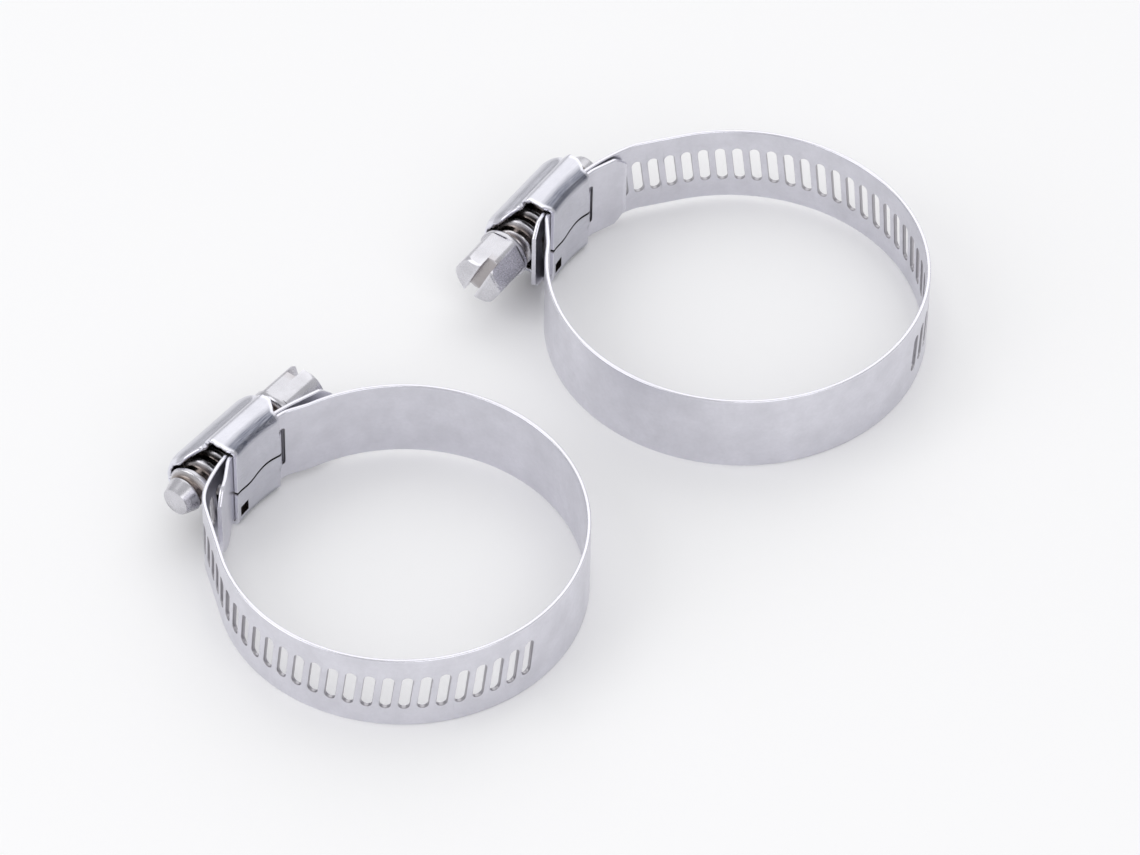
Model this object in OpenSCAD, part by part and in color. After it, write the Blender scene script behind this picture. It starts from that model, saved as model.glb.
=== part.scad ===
// A pair of worm-drive hose clamps with slotted bands, lying flat side by side.
// Each clamp is one strip of steel, one folded housing and one screw. The strip is drawn as a
// chain of short arcs on fine hinges, so that the loop closes as the screw draws its tail in.
// Each clamp has its own frame: Z is the loop's axis, the housing lies at -X and the screw runs
// along Y, with its head at -Y. Sections are drawn in a "uv" plane, u outwards at the housing
// (u = -x) and v along the screw (v = y).

/* [Loops] */
// Inside radius of the first clamp's loop
bore_r_1 = 26.45; // [24:0.1:28]
// Inside radius of the second clamp's loop
bore_r_2 = 24.75; // [24:0.1:28]
// Length of tail past the middle of the first housing
tail_1 = 8.6; // [7.5:0.1:10]
// Length of tail past the middle of the second housing
tail_2 = 14.6; // [7.5:0.1:16]
// Turn of the first housing from the loop's tangent, its head end outwards
tilt_1 = 4.5; // [-3:0.5:5]
// Turn of the second housing from the loop's tangent
tilt_2 = -2; // [-3:0.5:5]

/* [Layout] */
// Centre of the first loop, across the floor
loop_x_1 = 25.69; // [18:0.01:30]
// Centre of the first loop, back from the middle
loop_y_1 = 23.78; // [18:0.01:40]
// Centre of the second loop, across the floor
loop_x_2 = -20.29; // [-30:0.01:-18]
// Centre of the second loop, back from the middle
loop_y_2 = -25.46; // [-40:0.01:-18]
// Turn of the first clamp on the floor
yaw_1 = -33.5; // [-45:0.5:-30]
// Turn of the second clamp on the floor
yaw_2 = -38; // [-45:0.5:-30]

/* [Band] */
// Width of the steel strip
band_w = 12.7; // [12:0.1:13]
// Thickness of the steel strip
band_t = 0.6; // [0.5:0.02:0.64]
// Distance from one slot to the next, which is also the thread's lead
pitch = 2.5; // [2.4:0.02:2.6]
// Width of one slot
slot_w = 1.5; // [1.3:0.02:1.6]
// Height of one slot
slot_h = 6.1; // [5.5:0.1:7]
// Width of a chamfered corner at the strip's ends
end_chamfer = 1.8; // [1:0.1:2.5]
// Radius of the curve that the strip follows inside the housing
path_r = 30; // [29.5:0.1:31]

/* [Housing] */
// Thickness of the housing's sheet
sheet_t = 0.65; // [0.55:0.01:0.7]
// How far the housing stands out beyond each edge of the strip
housing_side = 0.95; // [0.9:0.05:1.1]
// Length of the hump over the screw, without its turned-in ends
hump_len = 12.4; // [11:0.1:13]
// Length of the flaps that fold under the strip
flap_len = 8.8; // [8:0.1:9]
// Outside radius of the folds beside the strip
fold_r = 1; // [0.9:0.02:1.1]
// Width of the seam between the two flaps
seam_w = 0.14; // [0.1:0.01:0.2]
// Length of the window that holds the flaps' tab
window_len = 2.6; // [2.4:0.1:2.8]
// Width of that window, along the loop's axis
window_w = 7; // [6.5:0.1:7.5]
// Side of the small square hole in one flap
flap_hole = 1.6; // [1.4:0.1:1.8]

/* [Screw] */
// Outside radius of the thread
thread_r = 3.4; // [3.3:0.02:3.5]
// Radius of the screw between the threads
root_r = 2.55; // [2.4:0.05:2.7]
// Hexagon of the head, across flats
hex_af = 7; // [6.8:0.05:7.2]
// Length of the hexagon
hex_len = 6.9; // [6.5:0.1:7.5]
// Radius that rounds the hexagon's corners
hex_corner_r = 3.85; // [3.7:0.05:3.9]
// Length of the collar behind the hexagon
collar_len = 0.8; // [0.7:0.05:0.9]
// Width of the screwdriver slot
driver_w = 1.7; // [1.5:0.1:1.9]
// Depth of the screwdriver slot
driver_depth = 2; // [1.8:0.1:2.4]
// Length of thread in the open before the housing
thread_front = 2.5; // [2.4:0.05:2.6]
// Length of thread in the open past the housing
thread_back = 3; // [2.6:0.1:3.4]
// Length of the blunt cone at the screw's tip
tip_len = 2.5; // [2:0.1:3]
// Radius of the cone's flat end
tip_r = 2; // [1.7:0.1:2.2]

/* [Clearances] */
// Gap between pieces that slide on each other
slide_gap = 0.08; // [0.07:0.01:0.09]
// Gap between pieces that lie still in the housing
rest_gap = 0.03; // [0.02:0.01:0.04]
// Gap beside the strip's edges
edge_gap = 0.3; // [0.25:0.01:0.3]
// Depth to which the thread reaches into the slots
thread_bite = 0.49; // [0.45:0.01:0.5]
// Gap round the thread inside the hump
hump_gap = 0.8; // [0.7:0.05:0.9]
// Running gap between the thread and the hump's end lips
lip_gap = 0.08; // [0.06:0.01:0.1]
// Radius of the bead on each hinge of the strip
bead_r = 0.2; // [0.18:0.01:0.22]

/* [Hidden] */
$fn = 96;

steel = [0.77, 0.78, 0.82];
steel_dark = [0.66, 0.67, 0.71];
plating = [0.80, 0.79, 0.80];

// The two clamps, by number
function bore(n) = n == 1 ? bore_r_1 : bore_r_2;
function tail(n) = n == 1 ? tail_1 : tail_2;
function tilt(n) = n == 1 ? tilt_1 : tilt_2;

// Heights above the bore: flaps, strip's fixed end, strip's moving end, screw
flap_h = rest_gap;
fixed_mid = flap_h + sheet_t + rest_gap + band_t / 2;
moving_mid = fixed_mid + band_t + slide_gap;
moving_top = moving_mid + band_t / 2;
screw_h = moving_top - thread_bite + thread_r;
hump_in = thread_r + hump_gap;
hump_out = hump_in + sheet_t;
hump_end = hump_len / 2;
flap_end = flap_len / 2;
cheek_in = band_w / 2 + edge_gap;
housing_w = band_w + 2 * housing_side;
cheek_out = housing_w / 2;
// Centre of the rounded shoulders, below the screw's axis
shoulder_drop = 1.45;
shoulder_h = screw_h - shoulder_drop;
// The hump's half round starts this far below the axis, and the shoulders end at this angle
hump_skirt = 0.2;
shoulder_end = -28;
// The shoulders reach in to the middle of the hump's sheet
shoulder_r = (cheek_out - (hump_in + hump_out) / 2) / (1 - sin(shoulder_end));
// They are cut back at the end away from the window
shoulder_cut = 4.6;
// The folds' sheet runs up beside the strip to this height above its middle
fold_rise = 1.2;
// The flat sides start this far above the folds
cheek_lap = 0.15;
// and stand this far back from the folds' faces
cheek_step = 0.03;

// Bends of the strip, each with its radius
open_r = 8;
drop_r = 2.5;
reverse_r = 8;
// Where the moving strip leaves its curve, past the middle of the housing
function open_v(n) = n == 1 ? 13.2 : 10.4;
// The window is beside the tip end of the first housing and the head end of the second
function window_side(n) = n == 1 ? 1 : -1;
window_lap = 0.9;
drop_past = 0.3;
// Where the fixed strip starts to bend down to the loop, at the tip end (1) or head end (-1)
function drop_v(n, end) = flap_end + (end == window_side(n) ? window_len - window_lap : drop_past);
// Where it lands on the loop, as an angle round the loop
flat_landing = 21;
landing_per_tilt = 1.4;
landing_per_v = 2.3;
function landing(n, end) = flat_landing - landing_per_tilt * end * tilt(n)
    + landing_per_v * (drop_v(n, end) - flap_end - drop_past);
// The tongue ends this far past the middle of the housing
function tongue_v(n) = n == 1 ? 11.7 : 11.5;
// How far the flaps stand off the bore for each degree of tilt
tilt_gap = 0.08;

// Hinges of the slotted half, each after this many pitches and a half
hinge_slots = [6, 13, 20, 27];
// Hinges of the plain half, as angles round the loop
hinge_plain = [-13, -47, -81, -115, -148];
// The slots start beside this angle round the loop
slots_start = 5;
// Plain length at the tail's end, shorter where the thread comes near it
function tail_plain(n) = n == 1 ? 3.4 : 5;
// The tail is straight beyond this distance from the housing's middle
tail_curve = 9;
hinge_gap = 0.03;
// Length by which stretches of one piece run into each other
lap = 0.05;
groove_r = bead_r + hinge_gap;

// Slots lean with the thread, which is right-handed
slot_lean = atan(pitch / (2 * PI * thread_r));

// Details of the housing: tab, hole and end lips
tab_lap = 0.5;
tab_len = 1.6;
hole_edge = 0.5;
hole_z = 4.9;
// The hump's ends turn in round the thread over this length, from this far inside them
lip_len = 2;
lip_lap = 0.4;
lip_step = 0.1;
// and they stop this far above the screw's axis
lip_low = 0.6;

// Details of the screw: thread's profile and ends, head's chamfer, driver slot's turn
crest_w = 0.5;
foot_w = 1.5;
root_lap = 0.15;
steps_per_turn = 24;
thread_start = 0.9;
thread_end = 0.8;
tip_step = 0.3;
hex_chamfer = 0.6;
function driver_turn(n) = n == 1 ? 24 : 18;

// Overshoot of a cutter, and a length beyond the whole part
over = 1;
big = 100;

function pol(r, a) = [r * cos(a), r * sin(a)];
function deg(x) = x * 180 / PI;
function mid_r(n) = bore(n) + band_t / 2;
// Loop's centre in uv: the tilt moves it towards the tip end
function loop_c(n) = let (d = bore(n) + tilt_gap * abs(tilt(n))) [bore(n), 0] - pol(d, -tilt(n));
function flip(p) = [p[0], -p[1]];
function loop_pt(n, a) = loop_c(n) + pol(mid_r(n), a);
// The curve inside the housing is centred at this u
function path_c(n) = bore(n) + moving_mid - path_r;
function arc_pt(n, rad, a) = [path_c(n), 0] + pol(rad, a);
// Outward angle of the straight line that leaves a bend of radius rb and meets a circle
function tangent_a(c, rb, rm) = atan2(c[1], c[0]) + acos((rm - rb) / norm(c));

// Moving strip: curve inside the housing, opening bend, straight run, loop
function open_a(n) = asin(open_v(n) / path_r);
function open_c(n) = arc_pt(n, path_r - open_r, open_a(n));
function land_a(n) = tangent_a(open_c(n) - loop_c(n), open_r, mid_r(n));
function bend_end(n) = open_c(n) + pol(open_r, land_a(n));
function land_pt(n) = loop_pt(n, land_a(n));
function s_open(n) = path_r * open_a(n) * PI / 180;
function s_bend(n) = s_open(n) + open_r * (land_a(n) - open_a(n)) * PI / 180;
function s_land(n) = s_bend(n) + norm(land_pt(n) - bend_end(n));
// Point and outward angle at length s along the moving strip, from the housing's middle
function along(n, s) =
    s <= s_open(n) ? let (a = deg(s / path_r)) concat(arc_pt(n, path_r, a), a) :
    s <= s_bend(n) ? let (a = open_a(n) + deg((s - s_open(n)) / open_r))
        concat(open_c(n) + pol(open_r, a), a) :
    s <= s_land(n) ? let (a = land_a(n)) concat(bend_end(n) + pol(s - s_bend(n), a + 90), a) :
    let (a = land_a(n) + deg((s - s_land(n)) / mid_r(n))) concat(loop_pt(n, a), a);
function hinge_s(k) = (hinge_slots[k] + 0.5) * pitch;
// Outward angles of the loop's hinges in uv, from the tail's side round to the fixed end
function loop_hinge(n, k) = k < 4 ? along(n, hinge_s(k))[2] : 180 - hinge_plain[k - 4];
function slots_end(n) = floor((s_land(n) + (180 - slots_start - land_a(n)) * PI / 180
    * mid_r(n)) / pitch);
function slots_first(n) = -floor((tail(n) - tail_plain(n)) / pitch);

// Fixed strip: curve under the moving strip, and a drop to the loop at each end. Each end is
// worked out with v away from the housing's middle.
fixed_r = path_r - moving_mid + fixed_mid;
function drop_a(n, end) = asin(drop_v(n, end) / fixed_r);
function drop_c(n, end) = arc_pt(n, fixed_r - drop_r, drop_a(n, end));
function end_loop_c(n, end) = end > 0 ? loop_c(n) : flip(loop_c(n));
function reverse_c(n, end) = end_loop_c(n, end) + pol(mid_r(n) + reverse_r, landing(n, end));
function drop_turn(n, end) = let (d = reverse_c(n, end) - drop_c(n, end))
    atan2(d[1], d[0]) - acos((drop_r + reverse_r) / norm(d));
function tongue_a(n) = asin((tongue_v(n) - loop_c(n)[1]) / mid_r(n));

// Sector of a ring whose middle line has radius r; laps say which ends reach into a neighbour
module ring(r, t, from, to, c = [0, 0], laps = [0, 0]) {
    far = 2 * (r + t);
    a0 = from - laps[0] * deg(lap / r);
    a1 = to + laps[1] * deg(lap / r);
    steps = max(1, ceil((a1 - a0) / 45));
    strip()
        translate(c)
            intersection() {
                difference() {
                    circle(r + t / 2);
                    circle(r - t / 2);
                }
                polygon(concat([[0, 0]],
                    [for (k = [0:steps]) pol(far, a0 + (a1 - a0) * k / steps)]));
            }
}

// Straight strip from p to q
module bar(p, q, t, laps = [0, 0]) {
    strip()
        translate(p)
            rotate(atan2(q[1] - p[1], q[0] - p[0]))
                translate([-laps[0] * lap, -t / 2])
                    square([norm(q - p) + (laps[0] + laps[1]) * lap, t]);
}

// Takes what is drawn in uv to the clamp's own frame
module from_uv() {
    mirror([1, 0, 0])
        children();
}

// Turns what is drawn with the window up v to the side where the clamp has it
module to_window_side(n) {
    rotate([window_side(n) > 0 ? 0 : 180, 0, 0])
        children();
}

// Gives a section in uv the strip's width
module strip() {
    translate([0, 0, -band_w / 2])
        linear_extrude(band_w)
            children();
}

// Bead on the leading end of a link, and the groove for it in the link before
module bead(p) {
    translate([p[0], p[1], -band_w / 2])
        cylinder(h = band_w, r = bead_r, $fn = 48);
}

module groove(p) {
    translate([p[0], p[1], -band_w])
        cylinder(h = 2 * band_w, r = groove_r, $fn = 48);
}

// One leaning slot at length s, as a cutter through the strip
module slot_cut(n, s) {
    at = along(n, s);
    half = (slot_h - slot_w) / 2;
    translate([at[0], at[1], 0])
        rotate([0, 0, at[2]])
            rotate([90, 0, 90])
                translate([0, 0, -band_t * 2])
                    linear_extrude(band_t * 4)
                        rotate(slot_lean) {
                            square([slot_w, 2 * half], center = true);
                            for (side = [-1, 1])
                                translate([0, side * half])
                                    circle(slot_w / 2, $fn = 32);
                        }
}

module slots(n, from, to) {
    for (k = [from:to])
        slot_cut(n, k * pitch);
}

// A loop link between two hinges, given as outward angles in uv: its leading end is at a1
module loop_link(n, a0, a1) {
    gap_a = deg(hinge_gap / mid_r(n));
    difference() {
        union() {
            ring(mid_r(n), band_t, a0 + gap_a, a1, loop_c(n));
            bead(loop_pt(n, a1));
        }
        groove(loop_pt(n, a0));
    }
}

// Strip's fixed end: tongue, saddle under the screw, drop to the loop and its first stretch
module band_fixed(n) {
    lead = 180 + hinge_plain[4];
    from_uv() {
        difference() {
            union() {
                ring(fixed_r, band_t, -drop_a(n, -1), drop_a(n, 1), [path_c(n), 0]);
                strip_drop(n, 1, tongue_a(n));
                mirror([0, 1, 0])
                    strip_drop(n, -1, lead - deg(hinge_gap / mid_r(n)));
            }
            mirror([0, 1, 0])
                groove(flip(loop_c(n)) + pol(mid_r(n), lead));
            strip_corners(loop_pt(n, tongue_a(n)), tongue_a(n));
            window_cut(n);
        }
    }
}

// Bend in to the loop at one end of the housing, and on along the loop to an angle
module strip_drop(n, end, to) {
    a_drop = drop_turn(n, end);
    c = drop_c(n, end);
    back = reverse_c(n, end);
    land = landing(n, end);
    ring(drop_r, band_t, drop_a(n, end), a_drop, c, [1, 0]);
    bar(c + pol(drop_r, a_drop), back - pol(reverse_r, a_drop), band_t, [1, 1]);
    ring(reverse_r, band_t, 180 + land, 180 + a_drop, back, [1, 0]);
    ring(mid_r(n), band_t, land, to, end_loop_c(n, end));
}

// Cuts both corners off an end of the strip, at a point and an outward angle
module strip_corners(tip, a) {
    wide = end_chamfer * sqrt(2);
    for (side = [-1, 1])
        translate([tip[0], tip[1], side * band_w / 2])
            rotate([0, 0, a])
                rotate([45, 0, 0])
                    cube([4 * band_t, wide, wide], center = true);
}

// Window in the fixed strip for the flaps' tab
module window_cut(n) {
    to_window_side(n)
        translate([bore(n) - band_w / 2, flap_end - window_lap, -window_w / 2])
            cube([band_w, window_len, window_w]);
}

// One stretch of the loop, from hinge k to hinge k + 1 counted from the tail's side
module band_link(n, k) {
    a0 = loop_hinge(n, k);
    a1 = loop_hinge(n, k + 1);
    from_uv()
        difference() {
            if (k == 0)
                first_link(n, a1);
            else
                loop_link(n, a0, a1);
            if (k < 4)
                slots(n, hinge_slots[k] + (k == 0 ? 1 : 0), min(slots_end(n),
                    (k < 3 ? hinge_slots[k + 1] : big) + 1));
        }
}

// The stretch beside the tail: it starts on the straight run
module first_link(n, a1) {
    h = along(n, hinge_s(0));
    p = [h[0], h[1]];
    difference() {
        union() {
            bar(p + pol(hinge_gap, h[2] + 90), land_pt(n), band_t, [0, 1]);
            ring(mid_r(n), band_t, land_a(n), a1, loop_c(n));
            bead(loop_pt(n, a1));
        }
        groove(p);
    }
}

// Strip's moving end: straight run, opening bend and the slotted tail through the housing
module band_tail(n) {
    h = along(n, hinge_s(0));
    end_a = asin(min(tail(n), tail_curve) / path_r);
    curve_end = arc_pt(n, path_r, -end_a);
    tip = curve_end + pol(max(0, tail(n) - tail_curve), -end_a - 90);
    from_uv()
        difference() {
            union() {
                ring(path_r, band_t, -end_a, open_a(n), [path_c(n), 0]);
                ring(open_r, band_t, open_a(n), land_a(n), open_c(n), [1, 0]);
                bar(bend_end(n), [h[0], h[1]], band_t, [1, 0]);
                bead([h[0], h[1]]);
                if (tail(n) > tail_curve)
                    bar(tip, curve_end, band_t, [0, 1]);
            }
            slots(n, slots_first(n), hinge_slots[0]);
            strip_corners(tip, -end_a);
        }
}

// Lower half of the housing's section, as radius above the bore and height
module flap_section() {
    difference() {
        rounded_corner_box(flap_h, cheek_out, fold_r);
        rounded_corner_box(flap_h + sheet_t, cheek_in, fold_r - sheet_t);
    }
}

// Box open at the top, from height h and half width w, with its low corners rounded
module rounded_corner_box(h, w, rad) {
    top = fixed_mid + fold_rise;
    union() {
        translate([h + rad, -w])
            square([top - h - rad, 2 * w]);
        translate([h, -w + rad])
            square([top - h, 2 * (w - rad)]);
        for (side = [-1, 1])
            translate([h + rad, side * (w - rad)])
                circle(rad, $fn = 32);
    }
}

// Hump's half round, as height above the bore and z
module hump_section() {
    intersection() {
        translate([screw_h, 0])
            difference() {
                circle(hump_out);
                circle(hump_in);
            }
        translate([screw_h - hump_skirt, -big / 2])
            square([big, big]);
    }
}

// Both rounded shoulders beside the hump
module shoulder_section() {
    for (side = [-1, 1])
        translate([shoulder_h, side * (cheek_out - shoulder_r)])
            intersection() {
                difference() {
                    circle(shoulder_r, $fn = 64);
                    circle(shoulder_r - sheet_t, $fn = 64);
                }
                polygon([[0, 0], [0, side * big], [big, side * big], pol(big, side * shoulder_end)]);
            }
}

// Flat side between the fold and the shoulder, in uv
module cheek(n) {
    r = bore(n);
    low = r + flap_h + fold_r + cheek_lap;
    polygon([[low, -flap_end], [r + shoulder_h, -shoulder_cut], [r + shoulder_h, hump_end],
        [low, flap_end]]);
}

// Wavy line of the seam between the flaps: height at the middle, slope and wave
seam_mid = -0.65;
seam_slope = 0.1;
seam_wave = 0.3;
seam_turn = 60;
function seam_z(v) = seam_mid + seam_slope * v + seam_wave * sin(v * seam_turn);

module seam_cut(n) {
    steps = 24;
    reach = flap_end + window_len;
    below = 2;
    line = [for (k = [0:steps]) -reach + 2 * reach * k / steps];
    translate([bore(n) - below, 0, 0])
        rotate([90, 0, 90])
            linear_extrude(below + fixed_mid + band_t / 2)
                polygon(concat([for (v = line) [v, seam_z(v) - seam_w / 2]],
                    [for (k = [steps:-1:0]) [line[k], seam_z(line[k]) + seam_w / 2]]));
}

// Tab of the flaps, bent up into the window of the fixed strip
module flap_tab(n) {
    from = flap_end - tab_lap;
    wide = window_w - 2 * edge_gap;
    intersection() {
        translate([bore(n) - over, from, -wide / 2])
            cube([sheet_t + band_t + 2 * over, tab_len, wide]);
        translate([path_c(n), 0, -wide / 2])
            difference() {
                cylinder(h = wide, r = fixed_r + band_t / 2 - rest_gap);
                translate([0, 0, -over])
                    cylinder(h = wide + 2 * over, r = fixed_r - band_t / 2 - rest_gap - sheet_t);
            }
    }
}

// Folded housing: flaps, cheeks, shoulders, hump and its end lips. It is drawn with its window
// side up v, and turned about u where that side is the head end.
module housing(n) {
    r = bore(n);
    c = path_c(n);
    span = 2 * asin(flap_end / (r - c));
    from_uv()
        to_window_side(n) difference() {
            union() {
                translate([c, 0, 0])
                    rotate([0, 0, -span / 2])
                        rotate_extrude(angle = span)
                            translate([r - c, 0])
                                flap_section();
                for (side = [-1, 1])
                    translate([0, 0, side > 0 ? cheek_in + cheek_step : cheek_step - cheek_out])
                        linear_extrude(cheek_out - cheek_in - 2 * cheek_step)
                            cheek(n);
                translate([r, hump_end, 0])
                    rotate([90, 0, 0]) {
                        linear_extrude(hump_len)
                            hump_section();
                        linear_extrude(hump_end + shoulder_cut)
                            shoulder_section();
                    }
                for (side = [-1, 1])
                    end_lip(n, side);
                flap_tab(n);
            }
            seam_cut(n);
            translate([r - over, hole_edge - flap_end, -hole_z - flap_hole / 2])
                cube([over + flap_h + sheet_t + over / 2, flap_hole, flap_hole]);
        }
}

// Turned-in lip at each end of the hump, which keeps the screw on its line
module end_lip(n, side) {
    lip_in = thread_r + lip_gap;
    intersection() {
        translate([bore(n) + screw_h, 0, 0])
            rotate([-90 * side, 0, 0])
                rotate_extrude()
                    polygon([[hump_in + lip_step, hump_end - lip_lap],
                        [hump_out - lip_step, hump_end - lip_lap], [hump_out - lip_step, hump_end],
                        [lip_in + sheet_t, hump_end + lip_len], [lip_in, hump_end + lip_len],
                        [hump_in + lip_step, hump_end]]);
        translate([bore(n) + screw_h + lip_low, -big / 2, -big / 2])
            cube([big, big, big]);
    }
}

// Right-handed thread as one swept ridge, along +Y, with a crest facing the strip at y = 0
module thread(from, to) {
    rings = floor((to - from) / pitch * steps_per_turn);
    inner = root_r - root_lap;
    // Angle round the screw, from Z towards X, and the place along it
    function ring_pts(k) = let (y = from + k * (to - from) / rings, a = 90 + 360 * y / pitch)
        [for (p = [[inner, -foot_w / 2], [thread_r, -crest_w / 2], [thread_r, crest_w / 2],
            [inner, foot_w / 2]]) [p[0] * sin(a), y + p[1], p[0] * cos(a)]];
    pts = [for (k = [0:rings]) each ring_pts(k)];
    sides = [for (k = [0:rings - 1], e = [0:3]) let (a = 4 * k + e, b = 4 * k + (e + 1) % 4)
        each [[a, b, b + 4], [a, b + 4, a + 4]]];
    caps = [[0, 3, 2, 1], [4 * rings, 4 * rings + 1, 4 * rings + 2, 4 * rings + 3]];
    polyhedron(points = pts, faces = concat(sides, caps), convexity = 10);
}

// Screw with its slotted hexagon, collar, thread and blunt tip
module screw(n) {
    collar_y = -hump_end - thread_front;
    head_y = collar_y - collar_len;
    tip_y = hump_end + thread_back;
    translate([-(bore(n) + screw_h), 0, 0]) {
        difference() {
            union() {
                rotate([90, 0, 0]) {
                    translate([0, 0, -tip_y])
                        cylinder(h = tip_y - collar_y, r = root_r);
                    translate([0, 0, -tip_y - tip_len])
                        cylinder(h = tip_len, r1 = tip_r, r2 = root_r + tip_step);
                    translate([0, 0, -collar_y])
                        cylinder(h = collar_len, r1 = thread_r + lip_gap, r2 = hex_corner_r);
                }
                hexagon(head_y);
            }
            rotate([0, driver_turn(n), 0])
                translate([-driver_w / 2, head_y - hex_len - over, -big / 2])
                    cube([driver_w, driver_depth + over, big]);
        }
        thread(collar_y + thread_start, tip_y - thread_end);
    }
}

// Hexagon with rounded corners and a chamfered end
module hexagon(head_y) {
    translate([0, head_y, 0])
        rotate([90, 0, 0])
            intersection() {
                cylinder(h = hex_len, r = hex_af / sqrt(3), $fn = 6);
                rotate_extrude()
                    polygon([[0, 0], [hex_corner_r - hex_chamfer / 2, 0],
                        [hex_corner_r, hex_chamfer], [hex_corner_r, hex_len - hex_chamfer],
                        [hex_corner_r - hex_chamfer, hex_len], [0, hex_len]]);
            }
}

// A clamp leans until the rim of its loop meets the floor, because the housing is wider
function lean(n) = asin((housing_w - band_w) / 2
    / (bore(n) + band_t + bore(n) + flap_h + fold_r - loop_c(n)[0] - flap_sag));
flap_sag = flap_end * flap_end / 2 / (path_r - moving_mid);
function rise(n) = band_w / 2 * cos(lean(n)) + (bore(n) + band_t) * sin(lean(n));
// Places the clamp's own frame so that the loop's centre comes to the origin
module centred(n) {
    c = loop_c(n);
    translate([c[0], -c[1], 0])
        children();
}

module place_1() {
    translate([loop_x_1, loop_y_1, rise(1)])
        rotate([0, 0, yaw_1])
            rotate([0, lean(1), 0])
                centred(1)
                    children();
}

// The second clamp lies the other way up
module place_2() {
    translate([loop_x_2, loop_y_2, rise(2)])
        rotate([0, 0, yaw_2])
            rotate([0, lean(2), 0])
                rotate([180, 0, 0])
                    centred(2)
                        children();
}

module housing_1() { color(steel) place_1() housing(1); }
module band_fixed_1() { color(steel) place_1() band_fixed(1); }
module band_link_1a() { color(steel) place_1() band_link(1, 7); }
module band_link_1b() { color(steel) place_1() band_link(1, 6); }
module band_link_1c() { color(steel) place_1() band_link(1, 5); }
module band_link_1d() { color(steel) place_1() band_link(1, 4); }
module band_link_1e() { color(steel_dark) place_1() band_link(1, 3); }
module band_link_1f() { color(steel_dark) place_1() band_link(1, 2); }
module band_link_1g() { color(steel_dark) place_1() band_link(1, 1); }
module band_link_1h() { color(steel_dark) place_1() band_link(1, 0); }
module band_tail_1() { color(steel_dark) place_1() band_tail(1); }
module screw_1() { color(plating) place_1() screw(1); }

module housing_2() { color(steel) place_2() housing(2); }
module band_fixed_2() { color(steel) place_2() band_fixed(2); }
module band_link_2a() { color(steel) place_2() band_link(2, 7); }
module band_link_2b() { color(steel) place_2() band_link(2, 6); }
module band_link_2c() { color(steel) place_2() band_link(2, 5); }
module band_link_2d() { color(steel) place_2() band_link(2, 4); }
module band_link_2e() { color(steel_dark) place_2() band_link(2, 3); }
module band_link_2f() { color(steel_dark) place_2() band_link(2, 2); }
module band_link_2g() { color(steel_dark) place_2() band_link(2, 1); }
module band_link_2h() { color(steel_dark) place_2() band_link(2, 0); }
module band_tail_2() { color(steel_dark) place_2() band_tail(2); }
module screw_2() { color(plating) place_2() screw(2); }

housing_1();
band_fixed_1();
band_link_1a();
band_link_1b();
band_link_1c();
band_link_1d();
band_link_1e();
band_link_1f();
band_link_1g();
band_link_1h();
band_tail_1();
screw_1();
housing_2();
band_fixed_2();
band_link_2a();
band_link_2b();
band_link_2c();
band_link_2d();
band_link_2e();
band_link_2f();
band_link_2g();
band_link_2h();
band_tail_2();
screw_2();
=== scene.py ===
"""A pair of worm-drive hose clamps: slotted strips, folded housings and slotted hexagon screws.

Lengths are worked out in millimetres in each clamp's own frame and placed in metres. The frame's
"uv" plane holds a clamp's sections: u points outwards at the housing and v runs along the screw,
away from its head.
"""

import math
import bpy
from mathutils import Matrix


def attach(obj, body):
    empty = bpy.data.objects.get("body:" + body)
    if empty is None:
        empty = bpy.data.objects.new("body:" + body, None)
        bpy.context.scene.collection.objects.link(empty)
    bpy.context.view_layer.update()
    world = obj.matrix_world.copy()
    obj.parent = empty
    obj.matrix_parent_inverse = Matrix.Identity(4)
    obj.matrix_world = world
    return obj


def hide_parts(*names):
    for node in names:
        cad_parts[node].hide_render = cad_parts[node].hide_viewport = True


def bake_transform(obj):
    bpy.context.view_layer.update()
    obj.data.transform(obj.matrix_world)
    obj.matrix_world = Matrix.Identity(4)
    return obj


bl_info = {
    "name": "Worm-drive clamp pair",
    "version": (1, 0, 0),
    "blender": (4, 5, 0),
    "location": "View3D > Sidebar > Clamps",
    "description": "Detailed strips, housings and screws for a pair of worm-drive hose clamps",
    "category": "Add Mesh",
}

import bpy
import numpy as np
from bpy.props import FloatProperty, FloatVectorProperty, PointerProperty

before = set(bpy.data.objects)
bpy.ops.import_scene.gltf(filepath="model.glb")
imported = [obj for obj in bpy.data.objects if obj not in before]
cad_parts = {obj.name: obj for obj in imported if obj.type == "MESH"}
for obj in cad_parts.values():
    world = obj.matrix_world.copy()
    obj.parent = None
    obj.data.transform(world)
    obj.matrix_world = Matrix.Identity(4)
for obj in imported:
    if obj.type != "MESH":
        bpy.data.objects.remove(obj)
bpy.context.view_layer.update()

MM = 0.001

# Gaps and heights above the bore, as the solids have them
REST_GAP, SLIDE_GAP = 0.03, 0.08
PATH_R = 30.0  # curve of the strip inside the housing
OPEN_R = 8.0  # bend that opens the moving strip
DROP_R, REVERSE_R = 2.5, 8.0  # bends of the fixed strip
WINDOW_LAP, DROP_PAST, TAIL_CURVE = 0.9, 0.3, 9.0
FLAT_LANDING, LANDING_PER_TILT, LANDING_PER_V, TILT_GAP = 21.0, 1.4, 2.3, 0.08
HINGE_SLOTS = (6, 13, 20, 27)  # hinges of the slotted half, in pitches, each plus a half
HINGE_PLAIN = (-13.0, -47.0, -81.0, -115.0, -148.0)  # hinges of the plain half, in degrees
CUT_SLOTS = (5, 9, 16, 23, 31)  # where pieces of the slotted half meet, in pitches plus a half
CUT_PLAIN = (210, 244, 278, 311.5, 331.5)  # where pieces of the plain half meet, in degrees
SLOTS_START = 5.0
LINKS = "abcdefgh"

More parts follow.
